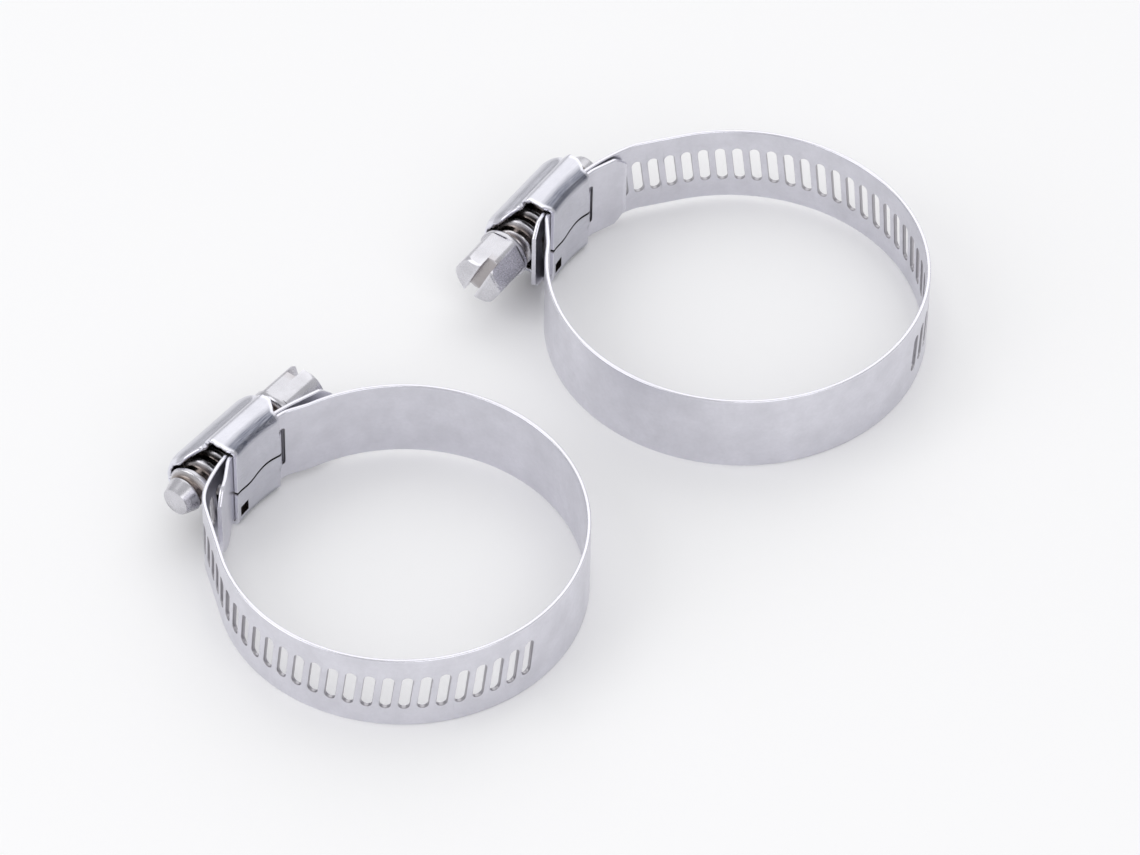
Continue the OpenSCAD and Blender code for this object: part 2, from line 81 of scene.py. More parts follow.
BUMP_DEPTH = 0.00002
FLOOR_REACH, FLOOR_DROP = 2.0, 0.00002
EYE, EYE_TILT, LENS = (0.00228, -0.57609, 0.6011), 44.0, 6000 / 1140 * 36
LAMPS = (  # name, place, size and power
    ("lamp_back", (0.1, 1.0, 1.0), 1.7, 6.3),
    ("lamp_left", (-1.0, -0.35, 0.8), 1.0, 4.0),
    ("lamp_front", (0.5, -0.9, 0.9), 1.0, 3.5),
)
WORLD_COLOR, WORLD_STRENGTH = (0.98, 0.98, 1.0, 1), 0.62


def smooth(x, low, high):
    """Smoothstep: 0 below low, 1 above high, 3t^2 - 2t^3 between."""
    t = np.clip((np.asarray(x, float) - low) / (high - low), 0, 1)
    return t * t * (3 - 2 * t)


def polar(radius, degrees):
    """Point at this radius and angle, in the plane."""
    a = np.radians(degrees)
    return np.stack([radius * np.cos(a), radius * np.sin(a)], -1)


def tangent_angle(offset, inner, outer):
    """Outward angle of the straight from a bend of radius inner to a circle of radius outer."""
    away = math.hypot(*offset)
    return math.degrees(math.atan2(offset[1], offset[0]) + math.acos((outer - inner) / away))


class Path:
    """Plane curve made of stretches of constant curvature k.

    Along a stretch the heading is a = a0 + k s, and the point is
    p0 + (sin a - sin a0, cos a0 - cos a) / k, or p0 + s (cos a0, sin a0) where k is 0.
    """

    def __init__(self, point, heading, start, stretches):
        self.s, self.p, self.a, self.k = [start], [np.array(point, float)], [heading], []
        for length, bend in stretches:
            point, _, heading = self._walk(
                self.p[-1], np.array([self.a[-1]]), np.array([bend]), np.array([length])
            )
            self.s.append(self.s[-1] + length)
            self.p.append(point[0])
            self.a.append(float(heading[0]))
            self.k.append(bend)
        self.s, self.p, self.a, self.k = map(np.array, (self.s, self.p, self.a, self.k))

    @staticmethod
    def _walk(p, a, k, ds):
        b = a + k * ds
        flat = np.abs(k) < 1e-9
        safe = np.where(flat, 1.0, k)
        x = np.where(flat, ds * np.cos(a), (np.sin(b) - np.sin(a)) / safe)
        y = np.where(flat, ds * np.sin(a), (np.cos(a) - np.cos(b)) / safe)
        return p + np.stack([x, y], -1), np.stack([np.sin(b), -np.cos(b)], -1), b

    def at(self, s):
        """Points and outward normals at lengths s."""
        s = np.asarray(s, float)
        i = np.clip(np.searchsorted(self.s, s, side="right") - 1, 0, len(self.k) - 1)
        points, normals, _ = self._walk(self.p[i], self.a[i], self.k[i], s - self.s[i])
        return points, normals


class Clamp:
    """One clamp's sizes, the centre line of its strip, and its place on the floor."""

    def __init__(self, number, strip, housing, screw, **own):
        """Own: bore, tail, tilt, centre, yaw, turn, open_v, tail_plain, tongue and side."""
        self.number = number
        self.bore, self.tail, self.tilt, self.turn = (own[x] for x in "bore tail tilt turn".split())
        self.open_v, self.tongue, self.side = own["open_v"], own["tongue"], own["side"]
        self.t, self.w = strip.thickness / MM, strip.width / MM
        self.pitch = strip.pitch / MM
        self.sheet, self.flap = housing.sheet / MM, housing.flap_length / MM / 2
        self.half_w, self.fold = housing.width / MM / 2, housing.fold_radius / MM
        self.thread = screw.thread_radius / MM
        self.flap_h = REST_GAP
        self.fixed = self.flap_h + self.sheet + REST_GAP + self.t / 2
        self.moving = self.fixed + self.t + SLIDE_GAP
        self.axis_h = self.moving + self.t / 2 - screw.bite / MM + self.thread
        self.mid = self.bore + self.t / 2
        back = self.bore + TILT_GAP * abs(self.tilt)
        self.loop = np.array([self.bore, 0.0]) - polar(back, -self.tilt)
        self.path_u = self.bore + self.moving - PATH_R
        self.path = np.array([self.path_u, 0.0])
        self.fixed_r = PATH_R - self.moving + self.fixed
        self.strip = self._centre_line(housing.window_length / MM, own["tail_plain"])
        self._place(own["centre"], own["yaw"])

    def _drop(self, end, window):
        """Bends from the saddle to the loop at one end, with v away from the housing's middle.

        Gives the angles where the saddle ends, where the drop is steepest and where it lands, and
        the length of the straight between the two bends.
        """
        past = window - WINDOW_LAP if end == self.side else DROP_PAST
        land = FLAT_LANDING - LANDING_PER_TILT * end * self.tilt
        land += LANDING_PER_V * (past - DROP_PAST)
        start = math.asin((self.flap + past) / self.fixed_r)
        centre = self.path + polar(self.fixed_r - DROP_R, math.degrees(start))
        away = self.loop * [1, end] + polar(self.mid + REVERSE_R, land) - centre
        far, both = math.hypot(*away), DROP_R + REVERSE_R
        turn = math.atan2(away[1], away[0]) - math.acos(both / far)
        return start, turn, math.radians(land), math.sqrt(far**2 - both**2)

    def _centre_line(self, window, tail_plain):
        """Tail, curve in the housing, opening bend, run, loop, and the fixed end's bends."""
        curve = min(self.tail, TAIL_CURVE)
        end = math.asin(curve / PATH_R)
        opened = math.asin(self.open_v / PATH_R)
        open_c = self.path + polar(PATH_R - OPEN_R, math.degrees(opened))
        land = tangent_angle(open_c - self.loop, OPEN_R, self.mid)
        run = math.hypot(*(self.loop + polar(self.mid, land) - open_c - polar(OPEN_R, land)))
        self.s_land = PATH_R * opened + OPEN_R * (math.radians(land) - opened) + run
        self.land = land
        head, head_turn, head_land, head_fall = self._drop(-1, window)
        tip, tip_turn, tip_land, tip_fall = self._drop(1, window)
        around = math.radians(360 - land) - head_land
        tongue = math.asin((self.tongue - self.loop[1]) / self.mid)
        stretches = [
            (self.tail - curve, 0.0),
            (PATH_R * (end + opened), 1 / PATH_R),
            (OPEN_R * (math.radians(land) - opened), 1 / OPEN_R),
            (run, 0.0),
            (self.mid * around, 1 / self.mid),
            (REVERSE_R * (head_turn - head_land), -1 / REVERSE_R),
            (head_fall, 0.0),
            (DROP_R * (head_turn - head), 1 / DROP_R),
            (self.fixed_r * (head + tip), 1 / self.fixed_r),
            (DROP_R * (tip_turn - tip), 1 / DROP_R),
            (tip_fall, 0.0),
            (REVERSE_R * (tip_turn - tip_land), -1 / REVERSE_R),
            (self.mid * (tongue - tip_land), 1 / self.mid),
        ]
        start = self.path + polar(PATH_R, -math.degrees(end))
        start = start + polar(self.tail - curve, -math.degrees(end) - 90)
        line = Path(start, math.pi / 2 - end, -PATH_R * end - self.tail + curve, stretches)
        # Middle of the housing on the fixed strip
        self.s_under = float(line.s[8]) + self.fixed_r * head
        self.first_slot = -math.floor((self.tail - tail_plain) / self.pitch)
        self.last_slot = math.floor(
            (self.s_land + math.radians(180 - SLOTS_START - land) * self.mid) / self.pitch
        )
        return line

    def _place(self, centre, yaw):
        spare = self.half_w - self.w / 2
        sag = self.flap**2 / 2 / (PATH_R - self.moving)
        reach = self.bore + self.flap_h + self.fold - self.loop[0] - sag
        lean = math.asin(spare / (self.bore + self.t + reach))
        height = self.w / 2 * math.cos(lean) + (self.bore + self.t) * math.sin(lean)
        y, e = math.radians(yaw), lean
        turn_z = [[math.cos(y), -math.sin(y), 0], [math.sin(y), math.cos(y), 0], [0, 0, 1]]
        turn_y = [[math.cos(e), 0, math.sin(e)], [0, 1, 0], [-math.sin(e), 0, math.cos(e)]]
        self.turned = np.array(turn_z) @ np.array(turn_y)
        if self.number == 2:
            self.turned = self.turned @ np.diag([1.0, -1.0, -1.0])
        self.spot = np.array([*centre, height])

    def place(self, u, v, z):
        """Takes points in the clamp's frame to the row frame, in metres."""
        u, v, z = np.broadcast_arrays(u, v, z)
        own = np.stack([self.loop[0] - u, v - self.loop[1], z], -1)
        return (own @ self.turned.T + self.spot) * MM

    def on_strip(self, s, z, h):
        """Points at length s, height z across the strip and h off its middle surface."""
        points, normals = self.strip.at(s)
        at = points + normals * np.asarray(h)[..., None]
        return self.place(at[..., 0], at[..., 1], z)

    def strip_normals(self, s):
        """Outward normals of the strip at lengths s, in the row frame."""
        flat = self.strip.at(s)[1]
        own = np.stack([-flat[:, 0], flat[:, 1], np.zeros(len(flat))], -1)
        return own @ self.turned.T

    def s_at(self, degrees):
        """Length along the strip at this angle round the loop."""
        return self.s_land + math.radians(degrees - self.land) * self.mid


def signed_volume(points, quads):
    """Sum of the tetrahedra from the origin to each face: positive where faces point outwards."""
    a, b, c, d = (points[quads[:, i]] for i in range(4))
    one = np.einsum("ij,ij->i", a, np.cross(b, c))
    two = np.einsum("ij,ij->i", a, np.cross(c, d))
    return float((one + two).sum() / 6)


class Skin:
    """Collects grids of points with the same columns, and welds them into one closed mesh."""

    def __init__(self, columns):
        self.rows, self.quads, self.count, self.columns = [], [], 0, columns

    def grid(self, values, wrap=False, flip=False):
        """Adds a grid, shape (m, n, columns); wrap joins its last column to its first."""
        m, n, _ = values.shape
        index = np.arange(m * n).reshape(m, n) + self.count
        if wrap:
            index = np.concatenate([index, index[:, :1]], 1)
        quads = np.stack([index[:-1, :-1], index[1:, :-1], index[1:, 1:], index[:-1, 1:]], -1)
        quads = quads.reshape(-1, 4)
        self.quads.append(quads[:, ::-1] if flip else quads)
        self.rows.append(values.reshape(-1, self.columns))
        self.count += m * n

    def weld(self, digits=5):
        """Rows with the same place become one point; collapsed sides and faces go."""
        rows, quads = np.concatenate(self.rows), np.concatenate(self.quads)
        _, first, same = np.unique(
            np.round(rows[:, :3], digits), axis=0, return_index=True, return_inverse=True
        )
        quads = same.reshape(-1)[quads]
        return rows[first], quads


def faces_of(quads):
    """Quads as lists without repeated corners, so that a collapsed side gives a triangle."""
    keep = quads != np.roll(quads, 1, axis=1)
    whole = keep.all(1)
    faces = quads[whole].tolist()
    for quad, mark in zip(quads[~whole], keep[~whole]):
        if mark.sum() > 2:
            faces.append(quad[mark].tolist())
    return faces


def exact_normals(mesh, normals, sides):
    """Sets the true normals on faces whose corners all have the same side, 1 or -1."""
    corner = np.empty(len(mesh.loops), np.int32)
    mesh.loops.foreach_get("vertex_index", corner)
    total = np.empty(len(mesh.polygons), np.int32)
    mesh.polygons.foreach_get("loop_total", total)
    face = np.repeat(np.arange(len(total)), total)
    on = np.abs(np.bincount(face, weights=sides[corner])) == total
    values = np.where(on[face, None], (normals * sides[:, None])[corner], 0.0)
    mesh.normals_split_custom_set(values.tolist())


def make_piece(name, points, quads, material, attributes=(), uv=None, sharp=40.0, exact=None):
    """One closed mesh object at the origin, with its normals outwards and its point attributes."""
    if signed_volume(points - points.mean(0), quads) < 0:
        quads = quads[:, ::-1]
    mesh = bpy.data.meshes.new(name)
    mesh.from_pydata(points.tolist(), [], faces_of(quads))
    mesh.validate(clean_customdata=False)
    for label, values in attributes:
        layer = mesh.attributes.new(label, "FLOAT", "POINT")
        layer.data.foreach_set("value", np.ascontiguousarray(values, dtype=np.float32))
    if uv is not None:
        corner = np.empty(len(mesh.loops), np.int32)
        mesh.loops.foreach_get("vertex_index", corner)
        layer = mesh.uv_layers.new(name="UVMap")
        layer.data.foreach_set("uv", np.ascontiguousarray(uv[corner], dtype=np.float32).ravel())
    mesh.shade_smooth()
    mesh.set_sharp_from_angle(angle=math.radians(sharp))
    if exact is not None:
        exact_normals(mesh, *exact)
    mesh.materials.append(material)
    mesh.update()
    thing = bpy.data.objects.new(name, mesh)
    bpy.context.scene.collection.objects.link(thing)
    return thing


# ---------------------------------------------------------------- materials


class Nodes:
    """Short calls for building a node tree."""

    def __init__(self, name):
        self.material = bpy.data.materials.get(name) or bpy.data.materials.new(name)
        self.material.use_nodes = True
        self.tree = self.material.node_tree
        self.tree.nodes.clear()

    def add(self, kind, inputs=(), **settings):
        node = self.tree.nodes.new(kind)
        for key, value in settings.items():
            setattr(node, key, value)
        for key, value in dict(inputs).items():
            self.plug(node.inputs[key], value)
        return node

    def plug(self, socket, value):
        """Links a socket, or sets a constant."""
        if isinstance(value, bpy.types.NodeSocket):
            self.tree.links.new(value, socket)
        else:
            socket.default_value = value

    def noise(self, vector, scale, detail=3.0, rough=0.55):
        values = {"Vector": vector, "Scale": scale, "Detail": detail, "Roughness": rough}
        return self.add("ShaderNodeTexNoise", values).outputs["Fac"]

    def stretch(self, vector, scale):
        return self.add("ShaderNodeMapping", {"Vector": vector, "Scale": scale}).outputs[0]

    def spread(self, value, low, high, out_low=0.0, out_high=1.0):
        """Maps low..high to out_low..out_high, clamped."""
        values = {0: value, 1: low, 2: high, 3: out_low, 4: out_high}
        return self.add("ShaderNodeMapRange", values).outputs[0]

    def math(self, operation, a, b=0.0):
        return self.add("ShaderNodeMath", {0: a, 1: b}, operation=operation).outputs[0]

    def mix(self, factor, a, b):
        node = self.add("ShaderNodeMix", data_type="RGBA")
        for key, value in ((0, factor), (6, a), (7, b)):
            self.plug(node.inputs[key], value)
        return node.outputs[2]

    def attribute(self, name):
        return self.add("ShaderNodeAttribute", attribute_name=name).outputs["Fac"]

    def finish(self, color, roughness, bump, strength, distance):
        """Metal with a colour, a roughness and a bump from the given sockets."""
        values = {"Height": bump, "Strength": strength, "Distance": distance}
        normal = self.add("ShaderNodeBump", values).outputs[0]
        values = {"Base Color": color, "Roughness": roughness, "Normal": normal, "Metallic": 1.0}
        shader = self.add("ShaderNodeBsdfPrincipled", values)
        self.add("ShaderNodeOutputMaterial", {0: shader.outputs[0]})
        return self.material


def rgba(color, gain=1.0):
    return (color[0] * gain, color[1] * gain, color[2] * gain, 1.0)


def satin_steel(name, color, edge_gain, painted_shade, painted_fold_reflection, rough):
    """Cold-rolled stainless: soft mottling, fine rolled grain, and a painted highlight on cut
    edges.

    The attribute "edge" is 1 on cut edges, which get a painted highlight; "wall" is 1 in deep
    places and 0.5 in slots, which get painted shade; and "fold" is 1 where a dark reflection is
    painted along the fold, in streaks along it.
    """
    n = Nodes(name)
    place = n.add("ShaderNodeTexCoord")
    spot = place.outputs["Object"]
    cloud = n.noise(spot, 260.0, 4.0)
    speckle = n.noise(spot, 1900.0, 3.0, 0.6)
    stain = n.spread(n.noise(spot, 120.0, 5.0, 0.65), 0.56, 0.74)
    grain = n.noise(n.stretch(place.outputs["UV"], (1.2, 60.0, 1.0)), 6.0, 4.0, 0.6)
    streak = n.noise(n.stretch(place.outputs["UV"], (1.0, 26.0, 1.0)), 3.0, 4.0, 0.65)
    base = n.mix(n.spread(cloud, 0.3, 0.7), rgba(color, 0.93), rgba(color, 1.05))
    fine = n.spread(speckle, 0.35, 0.68)
    base = n.mix(n.math("MULTIPLY", fine, 0.16), base, rgba(color, 0.78))
    base = n.mix(n.math("MULTIPLY", stain, 0.14), base, rgba(color, 0.6))
    # Painted dark reflection along the folds, broken into streaks
    fold = n.math("MULTIPLY", n.attribute("fold"), n.spread(streak, 0.32, 0.62, 0.5, 1.0))
    base = n.mix(fold, base, rgba(painted_fold_reflection))
    # Painted highlight: cut edges lighter in colour
    edge = n.attribute("edge")
    base = n.mix(n.math("MULTIPLY", edge, 0.85), base, rgba(color, edge_gain))
    # Painted shade in slots, seams and deep places
    base = n.mix(n.math("MULTIPLY", n.attribute("wall"), 0.93), base, rgba(painted_shade))
    roughness = n.spread(grain, 0.3, 0.7, rough - 0.05, rough + 0.06)
    roughness = n.math("SUBTRACT", roughness, n.math("MULTIPLY", edge, 0.1))
    height = n.math("ADD", n.math("MULTIPLY", grain, 0.6), n.math("MULTIPLY", speckle, 0.5))
    return n.finish(base, roughness, height, 0.22, BUMP_DEPTH)


def plated_screw(name, color, warm):
    """Bright plating: a painted highlight on the crests, painted shade in warm brown between the
    threads, fine turning marks.
    """
    n = Nodes(name)
    spot = n.add("ShaderNodeTexCoord").outputs["Object"]
    cloud = n.noise(spot, 420.0, 4.0)
    speckle = n.noise(spot, 2600.0, 3.0, 0.6)
    base = n.mix(n.spread(cloud, 0.3, 0.7), rgba(color, 0.92), rgba(color, 1.05))
    base = n.mix(n.math("MULTIPLY", n.spread(speckle, 0.5, 0.75), 0.07), base, rgba(warm, 1.9))
    # Painted shade in warm brown where "wall" marks the thread roots and the driver slot
    valley = n.attribute("wall")
    base = n.mix(n.math("MULTIPLY", valley, 0.85), base, rgba(warm))
    # Painted highlight on the thread's crests and the head's edges
    base = n.mix(n.math("MULTIPLY", n.attribute("edge"), 0.7), base, rgba(color, 1.25))
    roughness = n.spread(speckle, 0.3, 0.7, 0.25, 0.31)
    roughness = n.math("SUBTRACT", roughness, n.math("MULTIPLY", valley, 0.06))
    return n.finish(base, roughness, speckle, 0.015, BUMP_DEPTH)


# ---------------------------------------------------------------- settings


def length(name, description, default, low=0.0, high=1.0):
    return FloatProperty(
        name=name,
        description=description,
        default=default,
        min=low,
        max=high,
        unit="LENGTH",
        subtype="DISTANCE",
        precision=5,
    )


def colour(name, description, default):
    return FloatVectorProperty(
        name=name,
        description=description,
        default=default,
        size=3,
        min=0.0,
        max=1.0,
        subtype="COLOR",
    )


class ClampStripSettings(bpy.types.PropertyGroup):
    """Sizes of the slotted steel strip."""

    width: length("Width", "Width of the strip", 0.0127)
    thickness: length("Thickness", "Thickness of the strip", 0.0006)
    pitch: length("Slot pitch", "Distance from slot to slot", 0.0025)
    slot_width: length("Slot width", "Width of one slot", 0.0015)
    slot_height: length("Slot height", "Height of one slot", 0.0061)
    chamfer: length("Corner", "Width of the cut corners at the strip's ends", 0.0018)
    edge: length("Edge radius", "Rounding of the strip's long edges", 0.0002)


class ClampHousingSettings(bpy.types.PropertyGroup):
    """Sizes of the folded housing."""

    width: length("Width", "Overall width along the loop's axis", 0.0146)
    sheet: length("Sheet", "Thickness of the sheet", 0.00065)
    flap_length: length("Flap length", "Length of the flaps under the strip", 0.0088)
    hump_length: length("Hump length", "Length of the hump over the screw", 0.0124)
    hump_radius: length("Hump radius", "Outside radius of the hump", 0.00485)
    fold_radius: length("Fold radius", "Outside radius of the folds", 0.001)
    shoulder_radius: length("Shoulder radius", "Outside radius of the shoulders", 0.00189)
    window_length: length("Window length", "Length of the strip's window", 0.0026)
    window_width: length("Window width", "Width of the strip's window", 0.007)
    seam: length("Seam", "Width of the seam between the flaps", 0.0004)
    hole: length("Hole", "Side of the square hole in one flap", 0.0018)
    lip: length("Lip", "How far the hump's ends turn in", 0.0006)
    lip_length: length("Lip length", "How far the hump's turned-in ends stand out", 0.002)


class ClampScrewSettings(bpy.types.PropertyGroup):
    """Sizes of the screw."""

    thread_radius: length("Thread radius", "Outside radius of the thread", 0.0034)
    root_radius: length("Root radius", "Radius between the threads", 0.00255)
    bite: length("Bite", "Depth of the thread in the slots", 0.00049)
    hexagon: length("Hexagon", "Width across the flats", 0.007)
    head_length: length("Head length", "Length of the hexagon", 0.0069)
    corner_radius: length("Corner radius", "Radius that rounds the corners", 0.00385)
    collar: length("Collar", "Length of the collar", 0.0008)
    slot_width: length("Slot width", "Width of the driver slot", 0.0017)
    slot_depth: length("Slot depth", "Depth of the driver slot", 0.002)
    front: length("Front thread", "Thread in the open before the housing", 0.0025)
    back: length("Back thread", "Thread in the open past the housing", 0.003)
    tip: length("Tip length", "Length of the blunt cone", 0.0025)
    tip_radius: length("Tip radius", "Radius of the cone's flat end", 0.002)


class ClampFinishSettings(bpy.types.PropertyGroup):
    """Colours of the metals and of the stage."""

    strip: colour("Strip", "Colour of the stainless strip", (0.735, 0.73, 0.785))
    housing: colour("Housing", "Colour of the stainless housing", (0.67, 0.67, 0.725))
    screw: colour("Screw", "Colour of the plated screw", (0.64, 0.635, 0.67))
    # Painted shade in slots, seams and deep places
    painted_shade: colour("Painted shade", "Colour in slots, seams and deep places", (0.12, 0.105, 0.095))
    # Painted dark reflection along the folds
    painted_fold_reflection: colour("Painted fold reflection", "Colour of the darkened folds", (0.10, 0.11, 0.15))
    # Painted shade between the threads and in the driver slot; also the tone of the fine speckle
    warm: colour("Thread", "Colour between the threads", (0.20, 0.15, 0.12))
    floor: colour("Floor", "Colour of the floor", (0.975, 0.975, 0.975))


# ---------------------------------------------------------------- the two clamps


def clamps(scene):
    """The pair: sizes, turns and places on the floor, in millimetres and degrees."""
    parts = scene.clamp_strip, scene.clamp_housing, scene.clamp_screw
    first = Clamp(
        1, *parts, bore=26.45, tail=8.6, tilt=4.5, centre=(25.69, 23.78), yaw=-33.5, turn=24.0,
        open_v=13.2, tail_plain=3.4, tongue=11.7, side=1,
    )
    second = Clamp(
        2, *parts, bore=24.75, tail=14.6, tilt=-2.0, centre=(-20.29, -25.46), yaw=-38.0, turn=18.0,
        open_v=10.4, tail_plain=5.0, tongue=11.5, side=-1,
    )
    return first, second


# ---------------------------------------------------------------- strip


def rounded_outline(half_s, half_z, radius, lean, sides, ends):
    """Rounded rectangle as a ring of points in (s, z), turned by lean degrees.

    It runs up the left side, along the top, down the right side and back along the bottom.
    The top is a quarter arc, a straight and a quarter arc, taken at even lengths.
    """
    straight = half_z - radius
    left = np.stack([np.full(sides, -half_s), np.linspace(-straight, straight, sides + 1)[:-1]], -1)
    arc = np.radians(np.linspace(180, 90, 17))
    corner = np.stack([np.cos(arc), np.sin(arc)], -1) * radius
    corner += [-(half_s - radius), straight]
    top = np.concatenate([corner, (corner * [-1, 1])[::-1]])
    run = np.concatenate([[0], np.cumsum(np.hypot(*np.diff(top, axis=0).T))])
    at = np.linspace(0, run[-1], ends + 1)[:-1]
    top = np.stack([np.interp(at, run, top[:, 0]), np.interp(at, run, top[:, 1])], -1)
    ring = np.concatenate([left, top, -left, -top])
    c, s = math.cos(math.radians(lean)), math.sin(math.radians(lean))
    return ring @ np.array([[c, s], [-s, c]])


def cell_outline(low, high, half_z, sides, ends):
    """Rectangle with as many points as a rounded outline, in the same order."""
    z = np.linspace(-half_z, half_z, sides + 1)[:-1]
    s = np.linspace(low, high, ends + 1)[:-1]
    left = np.stack([np.full(sides, low), z], -1)
    top = np.stack([s, np.full(ends, half_z)], -1)
    right = np.stack([np.full(sides, high), -z], -1)
    bottom = np.stack([high + low - s, np.full(ends, -half_z)], -1)
    return np.concatenate([left, top, right, bottom])


class StripPiece:
    """Stretch of the strip as a closed skin in (s, z, h), with its slots or window."""

    SIDES, ENDS = 10, 8
    HOLE_EDGE, HOLE_MARGIN = 0.07, 0.15

    def __init__(self, clamp, settings):
        self.c, self.skin = clamp, Skin(3)
        self.half_t = clamp.t / 2
        self.edge = settings.edge / MM
        self.face_z = clamp.w / 2 - self.edge
        self.slot = settings.slot_width / MM / 2, settings.slot_height / MM / 2
        self.chamfer = settings.chamfer / MM

    def _rim(self):
        """Section of one long edge in (z, h): quarter arc, flat, quarter arc."""
        a = np.radians(np.linspace(90, 0, 4))
        arc = np.stack([np.cos(a), np.sin(a)], -1) * self.edge
        upper = arc + [self.face_z, self.half_t - self.edge]
        return np.concatenate([upper, (upper * [1, -1])[::-1]])

    def _rims(self, s):
        """Both long edges, at lengths s."""
        rim = self._rim()
        for side in (1, -1):
            grid = np.empty((len(s), len(rim), 3))
            grid[..., 0] = np.asarray(s)[:, None]
            grid[..., 1:] = rim * [side, 1]
            self.skin.grid(grid, flip=side < 0)

    def plain(self, low, high, step=0.7):
        """Solid stretch: both faces and both edges."""
        s = np.linspace(low, high, max(2, int(math.ceil((high - low) / step)) + 1))
        z = np.linspace(-self.face_z, self.face_z, self.SIDES + 1)
        for h in (self.half_t, -self.half_t):
            grid = np.empty((len(s), len(z), 3))
            grid[..., 0], grid[..., 1], grid[..., 2] = s[:, None], z[None], h
            self.skin.grid(grid, flip=h < 0)
        self._rims(s)

    def pierced(self, low, high, half_s, half_z, radius, lean):
        """Cell with one hole: rings from its outline in to the hole, through and out again."""
        middle = (low + high) / 2
        outer = cell_outline(low, high, self.face_z, self.SIDES, self.ENDS)
        e, t = self.HOLE_EDGE, self.half_t
        steps = [(self.HOLE_MARGIN, t), (e, t), (0.3 * e, t - 0.3 * e), (0, t - e)]
        steps += [(d, -h) for d, h in steps[::-1]]
        rings = [(outer, t)]
        for out, h in steps:
            ring = rounded_outline(
                half_s + out, half_z + out, radius + out, lean, self.SIDES, self.ENDS
            )
            rings.append((ring + [middle, 0], h))
        rings.append((outer, -t))
        grid = np.empty((len(rings), len(outer), 3))
        for i, (ring, h) in enumerate(rings):
            grid[i, :, :2], grid[i, :, 2] = ring, h
        self.skin.grid(grid, wrap=True)
        self._rims(np.linspace(low, high, self.ENDS + 1))

    def slotted(self, low, high):
        """Every whole slot between two lengths, with plain strip before and after."""
        c, p = self.c, self.c.pitch
        lean = math.degrees(math.atan(p / (2 * math.pi * c.thread)))
        first = max(c.first_slot, math.ceil(low / p + 0.5 - 1e-6))
        last = min(c.last_slot, math.floor(high / p - 0.5 + 1e-6))
        if first > last:
            self.plain(low, high)
            return
        if (first - 0.5) * p - low > 1e-4:
            self.plain(low, (first - 0.5) * p)
        for k in range(first, last + 1):
            self.pierced((k - 0.5) * p, (k + 0.5) * p, *self.slot, self.slot[0], lean)
        if high - (last + 0.5) * p > 1e-4:
            self.plain((last + 0.5) * p, high)

    def cap(self, s, start):
        """Flat end across the strip at length s."""
        z = np.linspace(-self.face_z, self.face_z, self.SIDES + 1)
        grid = np.empty((2, len(z), 3))
        grid[..., 0], grid[..., 1] = s, z
        grid[0, :, 2], grid[1, :, 2] = self.half_t, -self.half_t
        self.skin.grid(grid, flip=start)
        rim = self._rim()
        for side in (1, -1):
            half = len(rim) // 2
            fan = np.empty((2, half, 3))
            fan[..., 0] = s
            fan[0, :, 1:], fan[1, :, 1:] = rim[:half] * [side, 1], rim[::-1][:half] * [side, 1]
            self.skin.grid(fan, flip=(side > 0) == start)

    def build(self, name, material):
        """Welds the skin, narrows the cut corners and carries it along the strip's line."""
        rows, quads = self.skin.weld()
        s, z, h = rows.T
        line = self.c.strip
        end = np.minimum(s - line.s[0], line.s[-1] - s)
        narrow = 1 - np.clip(self.chamfer - end, 0, None) / (self.c.w / 2)
        points = self.c.on_strip(s, z * narrow, h)
        inside = np.abs(h) < self.half_t - 1e-4
        rim = np.abs(z) > self.face_z - 1e-4
        # Painted highlight on the cut ends and the long edges; painted shade on the walls of the
        # slots and the window
        edge = np.where((end < 1e-4) | (rim & inside), 1.0, 0.0)
        wall = np.where(inside & ~rim & (end > 1e-4), 0.5, 0.0)
        # The face under the flaps is in their shade
        under = np.abs(s - self.c.s_under) < self.c.flap - 0.3
        wall = np.where(under & (h < 0), 1.0, wall)
        uv = np.stack([s, z * narrow], -1) / 10
        sides = np.where(np.abs(np.abs(h) - self.half_t) < 1e-4, np.sign(h), 0.0)
        exact = self.c.strip_normals(s), sides
        marks = (("edge", edge), ("wall", wall), ("fold", np.zeros(len(s))))
        return make_piece(name, points, quads, material, marks, uv, exact=exact)


